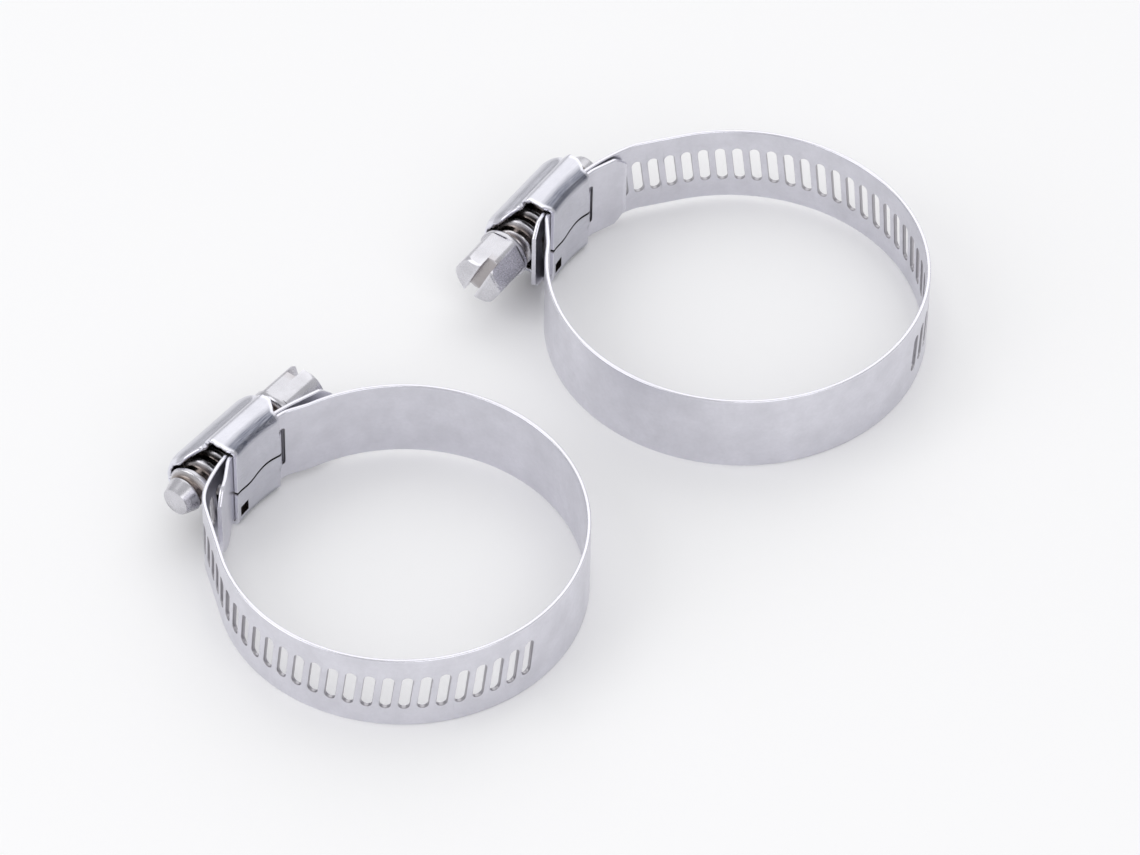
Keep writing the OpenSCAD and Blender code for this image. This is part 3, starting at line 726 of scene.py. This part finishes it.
class CLAMP_OT_strips(bpy.types.Operator):
    """Make both steel strips, each from a tail, nine stretches round its hinges and a fixed end"""

    bl_idname = "clamp.strips"
    bl_label = "Strips"

    def execute(self, context):
        scene = context.scene
        finish = scene.clamp_finish
        steel = satin_steel("strip_steel", finish.strip, 1.1, finish.painted_shade, finish.painted_fold_reflection, 0.34)
        for c in clamps(scene):
            self.make(c, scene, steel)
        return {"FINISHED"}

    def make(self, c, scene, steel):
        n, p = c.number, c.pitch
        line = c.strip
        hinges = [(k + 0.5) * p for k in HINGE_SLOTS] + [c.s_at(180 - a) for a in HINGE_PLAIN]
        bodies = [f"tail_{n}"] + [f"link_{n}{x}" for x in reversed(LINKS)] + [f"clamp_{n}"]
        nodes = [f"band_tail_{n}"] + [f"band_link_{n}{x}" for x in reversed(LINKS)]
        nodes += [f"band_fixed_{n}"]
        cuts = [(k + 0.5) * p for k in CUT_SLOTS]
        cuts += [c.s_at(a) for a in CUT_PLAIN]
        ends = [line.s[0]] + cuts + [line.s[-1]]
        for i in range(len(ends) - 1):
            low, high = float(ends[i]), float(ends[i + 1])
            piece = StripPiece(c, scene.clamp_strip)
            if i == len(ends) - 2:
                self.fixed_end(piece, c, scene.clamp_housing, low, high)
            else:
                piece.slotted(low, high)
            piece.cap(low, True)
            piece.cap(high, False)
            label = "tail" if i == 0 else "fixed" if i == len(ends) - 2 else f"bend_{i}"
            thing = piece.build(f"strip_{n}_{label}", steel)
            if 0 < i < len(ends) - 2:
                hinge = hinges[i - 1]
                reach = min(hinge - low, high - hinge, 2.5)
                start, end = (
                    c.on_strip(np.array([hinge + d]), np.zeros(1), np.zeros(1))[0]
                    for d in (-reach, reach)
                )
                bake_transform(thing)
                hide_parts(nodes[i - 1], nodes[i])
            else:
                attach(thing, bodies[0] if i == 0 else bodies[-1])
                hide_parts(nodes[0] if i == 0 else nodes[-1])

    def fixed_end(self, piece, c, housing, low, high):
        """Drop, saddle with its window, and tongue."""
        long, wide = housing.window_length / MM, housing.window_width / MM
        middle = c.s_under + c.side * (c.flap - WINDOW_LAP + long / 2)
        piece.plain(low, middle - long / 2 - 0.5)
        piece.pierced(
            middle - long / 2 - 0.5, middle + long / 2 + 0.5, long / 2, wide / 2, 0.3, 0.0
        )
        piece.plain(middle + long / 2 + 0.5, high)


# ---------------------------------------------------------------- housing


class HousingSheet:
    """The folded sheet as a surface over the section's places and the length v.

    The section runs from the seam along one flap, round its fold, up the flat side, over the
    shoulder and the hump's crest, and down the other side to the seam. It is drawn with the
    window side up v, and turned about u where that side is the head end.
    """

    SHOULDER_H, CUT, HOLE_Z = 3.45, 4.6, 4.9
    TAB_ROLL, TAB_LONG, TAB_STEP = 0.9, 0.95, 0.04
    LIP_START = 5.9
    SIDE_H, HUMP_FOOT, CURVE_FADE = 1.1, (5.5, 7.3), (1.4, 3.8)  # heights above the bore
    WORN, LIP_PULL = (0.89, 0.95), 0.45

    def __init__(self, clamp, settings):
        self.c, self.s = clamp, settings
        self.lip, self.lip_len = settings.lip / MM, settings.lip_length / MM
        self.hump = settings.hump_radius / MM
        self.half_hump = settings.hump_length / MM / 2
        self.tab = settings.window_width / MM / 2 - 0.3
        self.hole = settings.hole / MM

    def section(self):
        """One side's line beyond the flap, as z and h."""
        c, s = self.c, self.s
        fold, shoulder = c.fold, s.shoulder_radius / MM
        top = self.SHOULDER_H
        a = np.radians(np.linspace(-90, 0, 11))
        folded = np.stack([c.half_w - fold + fold * np.cos(a), c.flap_h + fold + fold * np.sin(a)])
        flat = np.stack([np.full(4, c.half_w), np.linspace(c.flap_h + fold, top, 6)[1:-1]])
        a = np.radians(np.linspace(0, 84, 12))
        round_top = np.stack(
            [c.half_w - shoulder + shoulder * np.cos(a), top + shoulder * np.sin(a)]
        )
        b = np.radians(np.linspace(22, 90, 19))
        crest = np.stack([self.hump * np.cos(b), c.axis_h + self.hump * np.sin(b)])
        p0, p3 = round_top[:, -1], crest[:, 0]
        p1 = p0 + 0.6 * np.array([-math.sin(a[-1]), math.cos(a[-1])])
        p2 = p3 - 0.6 * np.array([-math.sin(b[0]), math.cos(b[0])])
        t = np.linspace(0, 1, 9)[1:-1]
        valley = (
            np.outer(p0, (1 - t) ** 3)
            + np.outer(p1, 3 * t * (1 - t) ** 2)
            + np.outer(p2, 3 * t**2 * (1 - t))
            + np.outer(p3, t**3)
        )
        return np.concatenate([folded, flat, round_top, valley, crest], 1)

    def lengths(self, z, h, window):
        """Length from the middle to the window end, or to the other end, at each place.

        The flat side runs on to the hump's end beside the window, and is cut back at the other
        end. The hump reaches further by its turned-in ends, and the flaps by the window's tab.
        """
        low = self.c.flap
        side = self.half_hump if window else self.CUT
        reach = low + (side - low) * smooth(h, self.SIDE_H, self.SHOULDER_H)
        reach = reach + (self.half_hump + self.lip_len - side) * smooth(h, *self.HUMP_FOOT)
        if window:
            on_tab = (h < 0.5) & (np.abs(z) < self.tab + self.TAB_STEP / 2)
            reach = np.where(on_tab, low + self.TAB_LONG, reach)
        return reach

    def line(self, q):
        """Section in (z, h) for each length share q, with the flaps meeting at the wavy seam."""
        c = self.c
        side = self.section()
        v = q * c.flap
        seam = -0.65 + 0.1 * v + 0.3 * np.sin(np.radians(60 * v))
        gap = self.s.seam / MM / 2
        share, hole = np.linspace(0, 1, 7), self.hole
        self.hole_z = self.HOLE_Z + hole * np.array([-0.5, 0.5])
        marks = [self.tab + self.TAB_STEP, *np.linspace(*self.hole_z, 4), 6.0]
        rows = []
        for sign in (1, -1):
            edge = sign * seam + gap
            near = edge[:, None] + (self.tab - edge)[:, None] * share
            z = np.concatenate([near, np.tile([*marks, *side[0]], (len(q), 1))], 1)
            h = np.concatenate([np.full(near.shape[1] + len(marks), c.flap_h), side[1]])
            rows.append((sign * z, np.tile(h, (len(q), 1))))
        (z1, h1), (z2, h2) = rows
        return np.concatenate([z1, z2[:, -2::-1]], 1), np.concatenate([h1, h2[:, -2::-1]], 1)

    def grids(self):
        """Outer and inner grids in uvz, drawn with the window side up v."""
        c, hole = self.c, self.hole
        centre = -(c.flap - 0.5 - hole / 2)
        hole_q = np.array([centre - hole / 2, centre, centre + hole / 2]) / c.flap
        near = 0.16 * np.linspace(0, 1, 12) ** 1.3
        q = np.concatenate([near - 1, np.linspace(-0.8, 0.8, 27), 1 - near[::-1]])
        q = q[np.abs(q[:, None] - hole_q).min(1) > 0.015]
        q = np.sort(np.concatenate([q, hole_q]))
        z, h = self.line(q)
        run = np.cumsum(np.hypot(np.diff(z[0], prepend=z[0, 0]), np.diff(h[0], prepend=h[0, 0])))
        wave = 0.1 * np.sin(2.1 * run + 1.7 * c.number) + 0.07 * np.sin(5.3 * run + 2.0)
        wave = wave * smooth(h, 1.3, 3.0) * np.abs(q[:, None]) ** 6
        back, front = self.lengths(z, h, False), self.lengths(z, h, True)
        v = q[:, None] * (np.where(q[:, None] > 0, front, back) + wave)
        # The ends of the hump turn in round the thread: pull = lip (1 - sqrt(1 - t^2))
        crest = smooth(h, c.axis_h + 0.5, c.axis_h + 2.0)
        lip_end = self.half_hump + self.lip_len + 0.4
        t = np.clip((np.abs(v) - self.LIP_START) / (lip_end - self.LIP_START), 0, 1)
        pull = self.lip * crest * (1 - np.sqrt(1 - t**2)) / self.LIP_PULL
        away = np.stack([z, h - c.axis_h], -1)
        away = away / np.linalg.norm(away, axis=-1, keepdims=True)
        z, h = z - pull * away[..., 0], h - pull * away[..., 1]
        # The tab rolls up into the window: v = v0 + r sin a, h = h0 + r (1 - cos a)
        tab = (np.abs(z) < self.tab + self.TAB_STEP / 2) & (h < 0.5)
        start, roll = c.flap - 0.1, self.TAB_ROLL
        a = np.where(tab, np.clip((v - start) / roll, 0, None), 0.0)
        v = np.where(a > 0, start + roll * np.sin(a), v)
        h = h + roll * (1 - np.cos(a))
        # Flaps follow the strip's curve, and the hump is straight
        curve_r = PATH_R - c.moving
        bent = 1 - smooth(h, *self.CURVE_FADE)
        angle = np.arcsin(v / curve_r)
        u = bent * (c.path_u + (curve_r + h) * np.cos(angle)) + (1 - bent) * (c.bore + h)
        v = bent * (curve_r + h) * np.sin(angle) + (1 - bent) * v
        outer = np.stack([u, v, z], -1)
        # Unit normals from the grid's own slopes, pointing out of the housing
        normal = np.cross(np.gradient(outer, axis=1), np.gradient(outer, axis=0))
        normal /= np.linalg.norm(normal, axis=-1, keepdims=True)
        if normal[len(q) // 2, outer.shape[1] // 2, 0] < 0:
            normal = -normal
        inner = outer - normal * c.sheet
        return q, hole_q, outer, inner

    def turn(self, data):
        """Turns u, v, z about u where the window is at the head end."""
        data[:, 1:3] *= self.c.side
        return data

    def build(self, name, material):
        q, hole_q, outer, inner = self.grids()
        m, n, _ = outer.shape
        skin = Skin(6)

        def rows(points, *marks):
            """Adds the marks edge, wall and fold to each point."""
            shape = points.shape[:-1]
            extra = [np.broadcast_to(mark, shape)[..., None] for mark in marks]
            return np.concatenate([points, *extra], -1)

        z, h = outer[m // 2, :, 2], outer[m // 2, :, 0] - self.c.bore
        low, high = self.hole_z - [1e-3, -1e-3]
        cell = (-z[:-1] > low) & (-z[:-1] < high) & (-z[1:] > low) & (-z[1:] < high)
        in_z = np.flatnonzero(cell & (h[:-1] < 0.4))
        i0, i1 = (int(np.argmin(np.abs(q - x))) for x in (hole_q.min(), hole_q.max()))
        j0, j1 = int(in_z.min()), int(in_z.max()) + 1
        index = np.arange(m * n).reshape(m, n)
        quads = np.stack([index[:-1, :-1], index[1:, :-1], index[1:, 1:], index[:-1, 1:]], -1)
        keep = np.ones((m - 1, n - 1), bool)
        keep[i0:i1, j0:j1] = False
        faces = quads[keep]
        # A dark reflection is painted along the fold, and a little painted shade at the foot of the
        # hump
        fold = smooth(h, -0.1, 0.25) * (1 - smooth(h, 1.3, 2.5)) * (np.abs(z) > 6)
        fold = fold + 0.3 * smooth(h, 5.2, 5.9) * (1 - smooth(h, 6.6, 8.4))
        fold = fold * smooth(1 - np.abs(q[:, None]), 0.02, 0.12)
        # The mouths' outer rims get a painted highlight
        rim_highlight = 0.9 * smooth(np.abs(q[:, None]), *self.WORN) * smooth(h, 0.8, 2.0)
        # The outer face carries the painted highlight and reflection marks; the whole inner face
        # gets painted shade
        skin.rows += [
            rows(outer, rim_highlight, 0, fold).reshape(-1, 6), rows(inner, 0, 1, 0).reshape(-1, 6)
        ]
        skin.quads += [faces, faces[:, ::-1] + m * n]
        skin.count = 2 * m * n
        # Rounded rims round the outline and round the hole
        rim = [index[0], index[:, -1], index[-1, ::-1], index[::-1, 0]]
        shade = np.concatenate([np.zeros(n - 1), np.ones(m - 1)] * 2)
        hole = [index[i0, j0 : j1 + 1], index[i0 : i1 + 1, j1]]
        hole += [index[i1, j0 : j1 + 1][::-1], index[i0 : i1 + 1, j0][::-1]]
        flat_out, flat_in = outer.reshape(-1, 3), inner.reshape(-1, 3)
        dark = np.ones(sum(len(side) - 1 for side in hole))
        for loop, swell, way, dim in (
            (np.concatenate([side[:-1] for side in rim]), 0.12, 1, shade),
            (np.concatenate([side[:-1] for side in hole]), 0.0, -1, dark),
        ):
            a, b = flat_out[loop], flat_in[loop]
            along = np.roll(a, -1, axis=0) - np.roll(a, 1, axis=0)
            out = np.cross(along, a - b)
            out /= np.linalg.norm(out, axis=1, keepdims=True) + 1e-9
            out *= way
            if way > 0 and np.einsum("i,i->", out[1], a[1] - flat_out[index[1, 1]]) < 0:
                out = -out
            puff = (swell * (1 - dim))[:, None]
            levels = [(0.0, 0.0), (0.12, 0.7), (0.35, 1.0), (0.65, 1.0), (0.88, 0.7), (1.0, 0.0)]
            band = np.stack([a + (b - a) * share + out * puff * swollen
                for share, swollen in levels])
            # Painted highlight on the mouths' rims (cut); painted shade on the seam's sides and the
            # hole's walls (deep)
            cut = np.array([0.6, 1, 1, 1, 1, 0.3])[:, None] * (1 - dim)
            deep = np.array([0.3, 1, 1, 1, 1, 1])[:, None] * dim
            skin.grid(rows(band, cut, deep, 0), wrap=True, flip=way < 0)
        data, quads = skin.weld()
        data = self.turn(data)
        points = self.c.place(data[:, 0], data[:, 1], data[:, 2])
        uv = np.stack([data[:, 1], data[:, 2] + data[:, 0]], -1) / 10
        marks = tuple(zip(("edge", "wall", "fold"), data[:, 3:].T))
        return make_piece(name, points, quads, material, marks, uv, 50)


class CLAMP_OT_housings(bpy.types.Operator):
    """Make both folded housings, with their flaps, seams, turned-in ends and window tabs"""

    bl_idname = "clamp.housings"
    bl_label = "Housings"

    def execute(self, context):
        scene = context.scene
        finish = scene.clamp_finish
        steel = satin_steel(
            "housing_steel", finish.housing, 1.25, finish.painted_shade, finish.painted_fold_reflection, 0.27
        )
        for c in clamps(scene):
            n = c.number
            sheet = HousingSheet(c, scene.clamp_housing)
            thing = sheet.build(f"housing_sheet_{n}", steel)
            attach(thing, f"clamp_{n}")
            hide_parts(f"housing_{n}")
        return {"FINISHED"}


# ---------------------------------------------------------------- screw


class ScrewShape:
    """Screw about its axis: a threaded shank as a radius over turn and length, and its head."""

    def __init__(self, clamp, settings, housing):
        self.c, self.s = clamp, settings
        half = housing.hump_length / MM / 2
        self.collar_y = -half - settings.front / MM
        self.head_y = self.collar_y - settings.collar / MM
        self.tip_y = half + settings.back / MM
        self.end_y = self.tip_y + settings.tip / MM

    def place(self, radius, turn, y):
        """Radius, angle from Z towards X and length along the screw, in the row frame."""
        x, z = radius * np.sin(turn), radius * np.cos(turn)
        return self.c.place(self.c.bore + self.c.axis_h - x, y, z)

    def shank(self, name, material):
        """r(turn, y) = root + depth * profile(phase) * ends, phase = turn - y / pitch.

        The profile is a flat crest, two slopes and a rounded root. The collar and the blunt
        cone are added to the same surface, which closes at a pole at both ends.
        """
        s, pitch = self.s, self.c.pitch
        crest_r, root_r = s.thread_radius / MM, s.root_radius / MM
        tip_r, collar_r = s.tip_radius / MM, s.corner_radius / MM
        turns = np.radians(np.arange(0, 360, 5.0))
        collar = np.linspace(self.head_y - 0.3, self.collar_y, 9)
        body = np.arange(self.collar_y + 0.06, self.tip_y + 0.6, 0.085)
        cone = np.linspace(self.tip_y + 0.7, self.end_y, 10)
        y = np.concatenate([collar, body, cone])
        phase = (turns[None] - math.pi / 2) / (2 * math.pi) - y[:, None] / pitch
        off = np.abs((phase + 0.5) % 1.0 - 0.5) * pitch  # distance from the crest
        ridge = 1 - smooth(off, 0.22, 0.86)
        ridge = ridge**0.85
        starts = smooth(y, self.collar_y + 0.5, self.collar_y + 1.3)
        stops = 1 - smooth(y, self.tip_y - 0.9, self.tip_y + 0.4)
        radius = root_r + (crest_r - root_r) * ridge * (starts * stops)[:, None]
        taper = np.clip((y - self.tip_y - 0.2) / (self.end_y - self.tip_y - 0.2), 0, 1)
        cone_r = root_r + 0.2 - (root_r + 0.2 - tip_r) * taper
        rounding = np.sqrt(np.clip(1 - ((y - self.end_y + 0.3) / 0.3).clip(0, 1) ** 2, 0, 1))
        cone_r = cone_r - 0.3 * (1 - rounding)
        on_cone = smooth(y, self.tip_y - 0.1, self.tip_y + 0.5)[:, None]
        radius = radius * (1 - on_cone) + cone_r[:, None] * on_cone
        # Collar: a dome from the thread out to the head
        dome = np.clip((self.collar_y - y) / (self.collar_y - self.head_y), 0, 1)
        dome_r = crest_r - 0.35 + (collar_r - 0.02 - crest_r + 0.35) * np.sqrt(
            1 - (1 - dome) ** 2
        )
        radius = np.where((y <= self.collar_y)[:, None], dome_r[:, None], radius)
        points = self.place(radius, np.broadcast_to(turns, radius.shape), y[:, None])
        # Painted shade deepening into the thread roots, and a painted highlight along the crests'
        # edges
        depth = (crest_r - radius) / (crest_r - root_r)
        inside = (y > self.collar_y) & (y < self.tip_y + 0.2)
        wall = np.clip(depth, 0, 1) * inside[:, None]
        edge = np.clip(1 - np.abs(off - 0.25) / 0.12, 0, 1) * inside[:, None] * ridge
        grid = np.concatenate([points / MM, edge[..., None], wall[..., None]], -1)
        ends = []
        for row, at in ((0, y[0]), (-1, y[-1])):
            pole = self.place(np.zeros(1), np.zeros(1), np.array([at]))[0] / MM
            ring = np.broadcast_to([*pole, 0.0, 0.0], grid[row].shape)
            ends.append(np.stack([ring, grid[row]] if row == 0 else [grid[row], ring]))
        skin = Skin(5)
        for part in (ends[0], grid, ends[1]):
            skin.grid(np.array(part), wrap=True)
        data, quads = skin.weld()
        marks = (("edge", data[:, 3]), ("wall", data[:, 4]))
        return make_piece(name, data[:, :3] * MM, quads, material, marks, sharp=35)

    def head(self, name, material):
        """Slotted hexagon as a height over (a, b), a across the driver slot and b along it.

        Each line of constant a ends where it meets the rounded hexagon, so that the slot's
        walls and the rim are lines of the grid.
        """
        s = self.s
        half, corner = s.hexagon / MM / 2, s.corner_radius / MM
        slot, depth, high = s.slot_width / MM / 2, s.slot_depth / MM, s.head_length / MM
        turn = math.radians(self.c.turn)
        soft, chamfer = 0.12, 0.75  # rounding at the slot, and of the end's corners
        flats = np.radians(np.arange(6) * 60 + 30) + turn

        def ends_at(a):
            """Lowest and highest b inside the six flats and the circle of the corners."""
            limit = np.sqrt(np.clip(corner**2 - a**2, 0, None))
            low, top = -limit, limit
            for f in flats:
                na, nb = math.cos(f), math.sin(f)
                if abs(nb) < 1e-6:
                    continue
                bound = (half - na * a) / nb
                if nb > 0:
                    top = np.minimum(top, bound)
                else:
                    low = np.maximum(low, bound)
            return low, top

        wide = np.linspace(0, corner, 2000)
        low, top = ends_at(wide)
        reach = wide[(top - low) > 0.02].max()
        outside = slot + soft + (reach - slot - soft) * np.sin(
            np.linspace(0, math.pi / 2, 15)
        )
        lines = np.concatenate([np.linspace(0, slot - soft, 5), [slot, slot], outside])
        drop = np.concatenate(
            [np.full(5, depth), [depth - soft * 0.6, soft * 0.5], np.zeros(15)]
        )
        a = np.concatenate([-lines[::-1], lines[1:]])
        drop = np.concatenate([drop[::-1], drop[1:]])
        low, top = ends_at(a)
        share = (1 - np.cos(np.linspace(0, math.pi, 27))) / 2
        b = low[:, None] + (top - low)[:, None] * share
        across = np.broadcast_to(a[:, None], b.shape)
        far = np.hypot(across, b)
        bend = ((far - corner + chamfer) / (chamfer + 0.03)).clip(0, 1)
        rim = chamfer * (1 - np.sqrt(np.clip(1 - bend**2, 0, 1)))
        inward = 0.18 * smooth(np.abs(share - 0.5), 0.44, 0.5)[None]
        height = np.minimum(high - rim - inward, high - drop[:, None])
        loop_a = [a[:-1], np.full(26, a[-1]), a[::-1][:-1], np.full(26, a[0])]
        loop_b = [b[:-1, 0], b[-1, :-1], b[::-1, -1][:-1], b[0, ::-1][:-1]]
        loop_h = [height[:-1, 0], height[-1, :-1], height[::-1, -1][:-1], height[0, ::-1][:-1]]
        ring_a, ring_b, ring_h = map(np.concatenate, (loop_a, loop_b, loop_h))
        levels = np.array([1.0, 0.75, 0.5, 0.25, 0.06])
        side_h = levels[:, None] * ring_h
        foot = np.hypot(ring_a, ring_b)
        pinch = np.clip(1 - (side_h / 0.5), 0, 1) ** 2 * np.clip(foot - half + 0.2, 0, 1) * 0.25
        scale = 1 - pinch / foot

        def to_axis(p, r, h):
            """Slot frame to radius, angle and length: the head points towards -Y."""
            x = p * math.cos(turn) + r * math.sin(turn)
            z = -p * math.sin(turn) + r * math.cos(turn)
            return self.c.place(self.c.bore + self.c.axis_h - x, self.head_y - h, z) / MM

        def rows(points, edge, wall):
            return np.concatenate([points, edge[..., None], wall[..., None]], -1)

        skin = Skin(5)
        face = to_axis(across, b, height)
        # Painted shade in the driver slot, and painted highlights near the rim and on the slot's
        # brinks
        in_slot = (np.abs(a) < slot + 1e-6)[:, None] & (drop > soft)[:, None]
        wall = np.where(in_slot, 0.55, 0.0) * np.ones_like(b)
        near = smooth(far, corner - 0.6, corner - 0.1)
        brink = (np.abs(np.abs(a) - slot) < soft * 1.5)[:, None] & (drop < soft)[:, None]
        edge = np.maximum(near * 0.6, np.where(brink, 0.9, 0.0))
        skin.grid(rows(face, edge, wall))
        sides = to_axis(ring_a * scale, ring_b * scale, side_h)
        # Painted highlight on the top ring of the hexagon's sides
        first = np.zeros(side_h.shape)
        first[0] = 0.6
        skin.grid(rows(sides, first, 0 * first), wrap=True)
        middle = to_axis(np.zeros(1), np.zeros(1), np.array([0.06]))[0]
        base = np.stack([sides[-1], np.broadcast_to(middle, sides[-1].shape)])
        blank = np.zeros(base.shape[:2])
        skin.grid(rows(base, blank, blank), wrap=True)
        data, quads = skin.weld()
        points = data[:, :3] * MM
        marks = (("edge", data[:, 3]), ("wall", data[:, 4]))
        return make_piece(name, points, quads, material, marks, sharp=28)


class CLAMP_OT_screws(bpy.types.Operator):
    """Make both screws: threaded shanks with collars, and slotted hexagon heads"""

    bl_idname = "clamp.screws"
    bl_label = "Screws"

    def execute(self, context):
        scene = context.scene
        finish = scene.clamp_finish
        bright = plated_screw("screw_plating", finish.screw, finish.warm)
        for c in clamps(scene):
            n = c.number
            shape = ScrewShape(c, scene.clamp_screw, scene.clamp_housing)
            for thing in (
                shape.shank(f"screw_shank_{n}", bright),
                shape.head(f"screw_head_{n}", bright),
            ):
                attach(thing, f"screw_{n}")
                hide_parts(f"screw_{n}")
        return {"FINISHED"}


# ---------------------------------------------------------------- stage


def softbox(name, place, size, power):
    """Square area lamp aimed at the origin."""
    lamp = bpy.data.lights.new(name, "AREA")
    lamp.shape, lamp.size, lamp.energy = "SQUARE", size, power
    thing = bpy.data.objects.new(name, lamp)
    bpy.context.scene.collection.objects.link(thing)
    back = np.array(place) / np.linalg.norm(place)
    thing.location = place
    thing.rotation_euler = (math.acos(back[2]), 0.0, math.atan2(back[0], -back[1]))


class CLAMP_OT_stage(bpy.types.Operator):
    """Make the camera, the pale floor, the lamps and the world"""

    bl_idname = "clamp.stage"
    bl_label = "Stage"

    def execute(self, context):
        scene = context.scene
        scene.view_settings.view_transform = "Standard"
        camera = bpy.data.cameras.new("camera")
        camera.lens, camera.sensor_width = LENS, 36.0
        camera.clip_start, camera.clip_end = 0.01, 20.0
        eye = bpy.data.objects.new("camera", camera)
        eye.location = EYE
        eye.rotation_euler = (math.radians(EYE_TILT), 0.0, 0.0)
        scene.collection.objects.link(eye)
        scene.camera = eye
        self.floor(scene)
        for lamp in LAMPS:
            softbox(*lamp)
        world = bpy.data.worlds.new("studio")
        scene.world = world
        world.use_nodes = True
        even = world.node_tree.nodes["Background"]
        even.inputs["Color"].default_value = WORLD_COLOR
        even.inputs["Strength"].default_value = WORLD_STRENGTH
        return {"FINISHED"}

    def floor(self, scene):
        """Flat pale floor under the clamps."""
        mesh = bpy.data.meshes.new("floor")
        corners = np.array([(-1, -1, 0), (1, -1, 0), (1, 1, 0), (-1, 1, 0)]) * FLOOR_REACH
        mesh.from_pydata((corners - [0, 0, FLOOR_DROP]).tolist(), [], [(0, 1, 2, 3)])
        mesh.update()
        thing = bpy.data.objects.new("floor", mesh)
        scene.collection.objects.link(thing)
        n = Nodes("floor_paper")
        diffuse = n.add("ShaderNodeBsdfDiffuse", {"Color": rgba(scene.clamp_finish.floor)})
        n.add("ShaderNodeOutputMaterial", {0: diffuse.outputs[0]})
        mesh.materials.append(n.material)


class CLAMP_PT_panel(bpy.types.Panel):
    """Lists the settings and the operators"""

    bl_idname = "CLAMP_PT_panel"
    bl_label = "Clamp pair"
    bl_space_type = "VIEW_3D"
    bl_region_type = "UI"
    bl_category = "Clamps"

    def draw(self, context):
        layout = self.layout
        for group in GROUPS:
            box = layout.box()
            settings = getattr(context.scene, group)
            for prop in GROUPS[group].__annotations__:
                box.prop(settings, prop)
        for operator in OPERATORS:
            layout.operator(operator.bl_idname)


GROUPS = {
    "clamp_strip": ClampStripSettings,
    "clamp_housing": ClampHousingSettings,
    "clamp_screw": ClampScrewSettings,
    "clamp_finish": ClampFinishSettings,
}
OPERATORS = (CLAMP_OT_strips, CLAMP_OT_housings, CLAMP_OT_screws, CLAMP_OT_stage)


def register():
    for kind in (*GROUPS.values(), *OPERATORS, CLAMP_PT_panel):
        bpy.utils.register_class(kind)
    for name, kind in GROUPS.items():
        setattr(bpy.types.Scene, name, PointerProperty(type=kind))


def unregister():
    for name in GROUPS:
        delattr(bpy.types.Scene, name)
    for kind in reversed((*GROUPS.values(), *OPERATORS, CLAMP_PT_panel)):
        bpy.utils.unregister_class(kind)


def main():
    register()
    bpy.ops.clamp.strips()
    bpy.ops.clamp.housings()
    bpy.ops.clamp.screws()
    bpy.ops.clamp.stage()


if __name__ == "__main__":
    main()
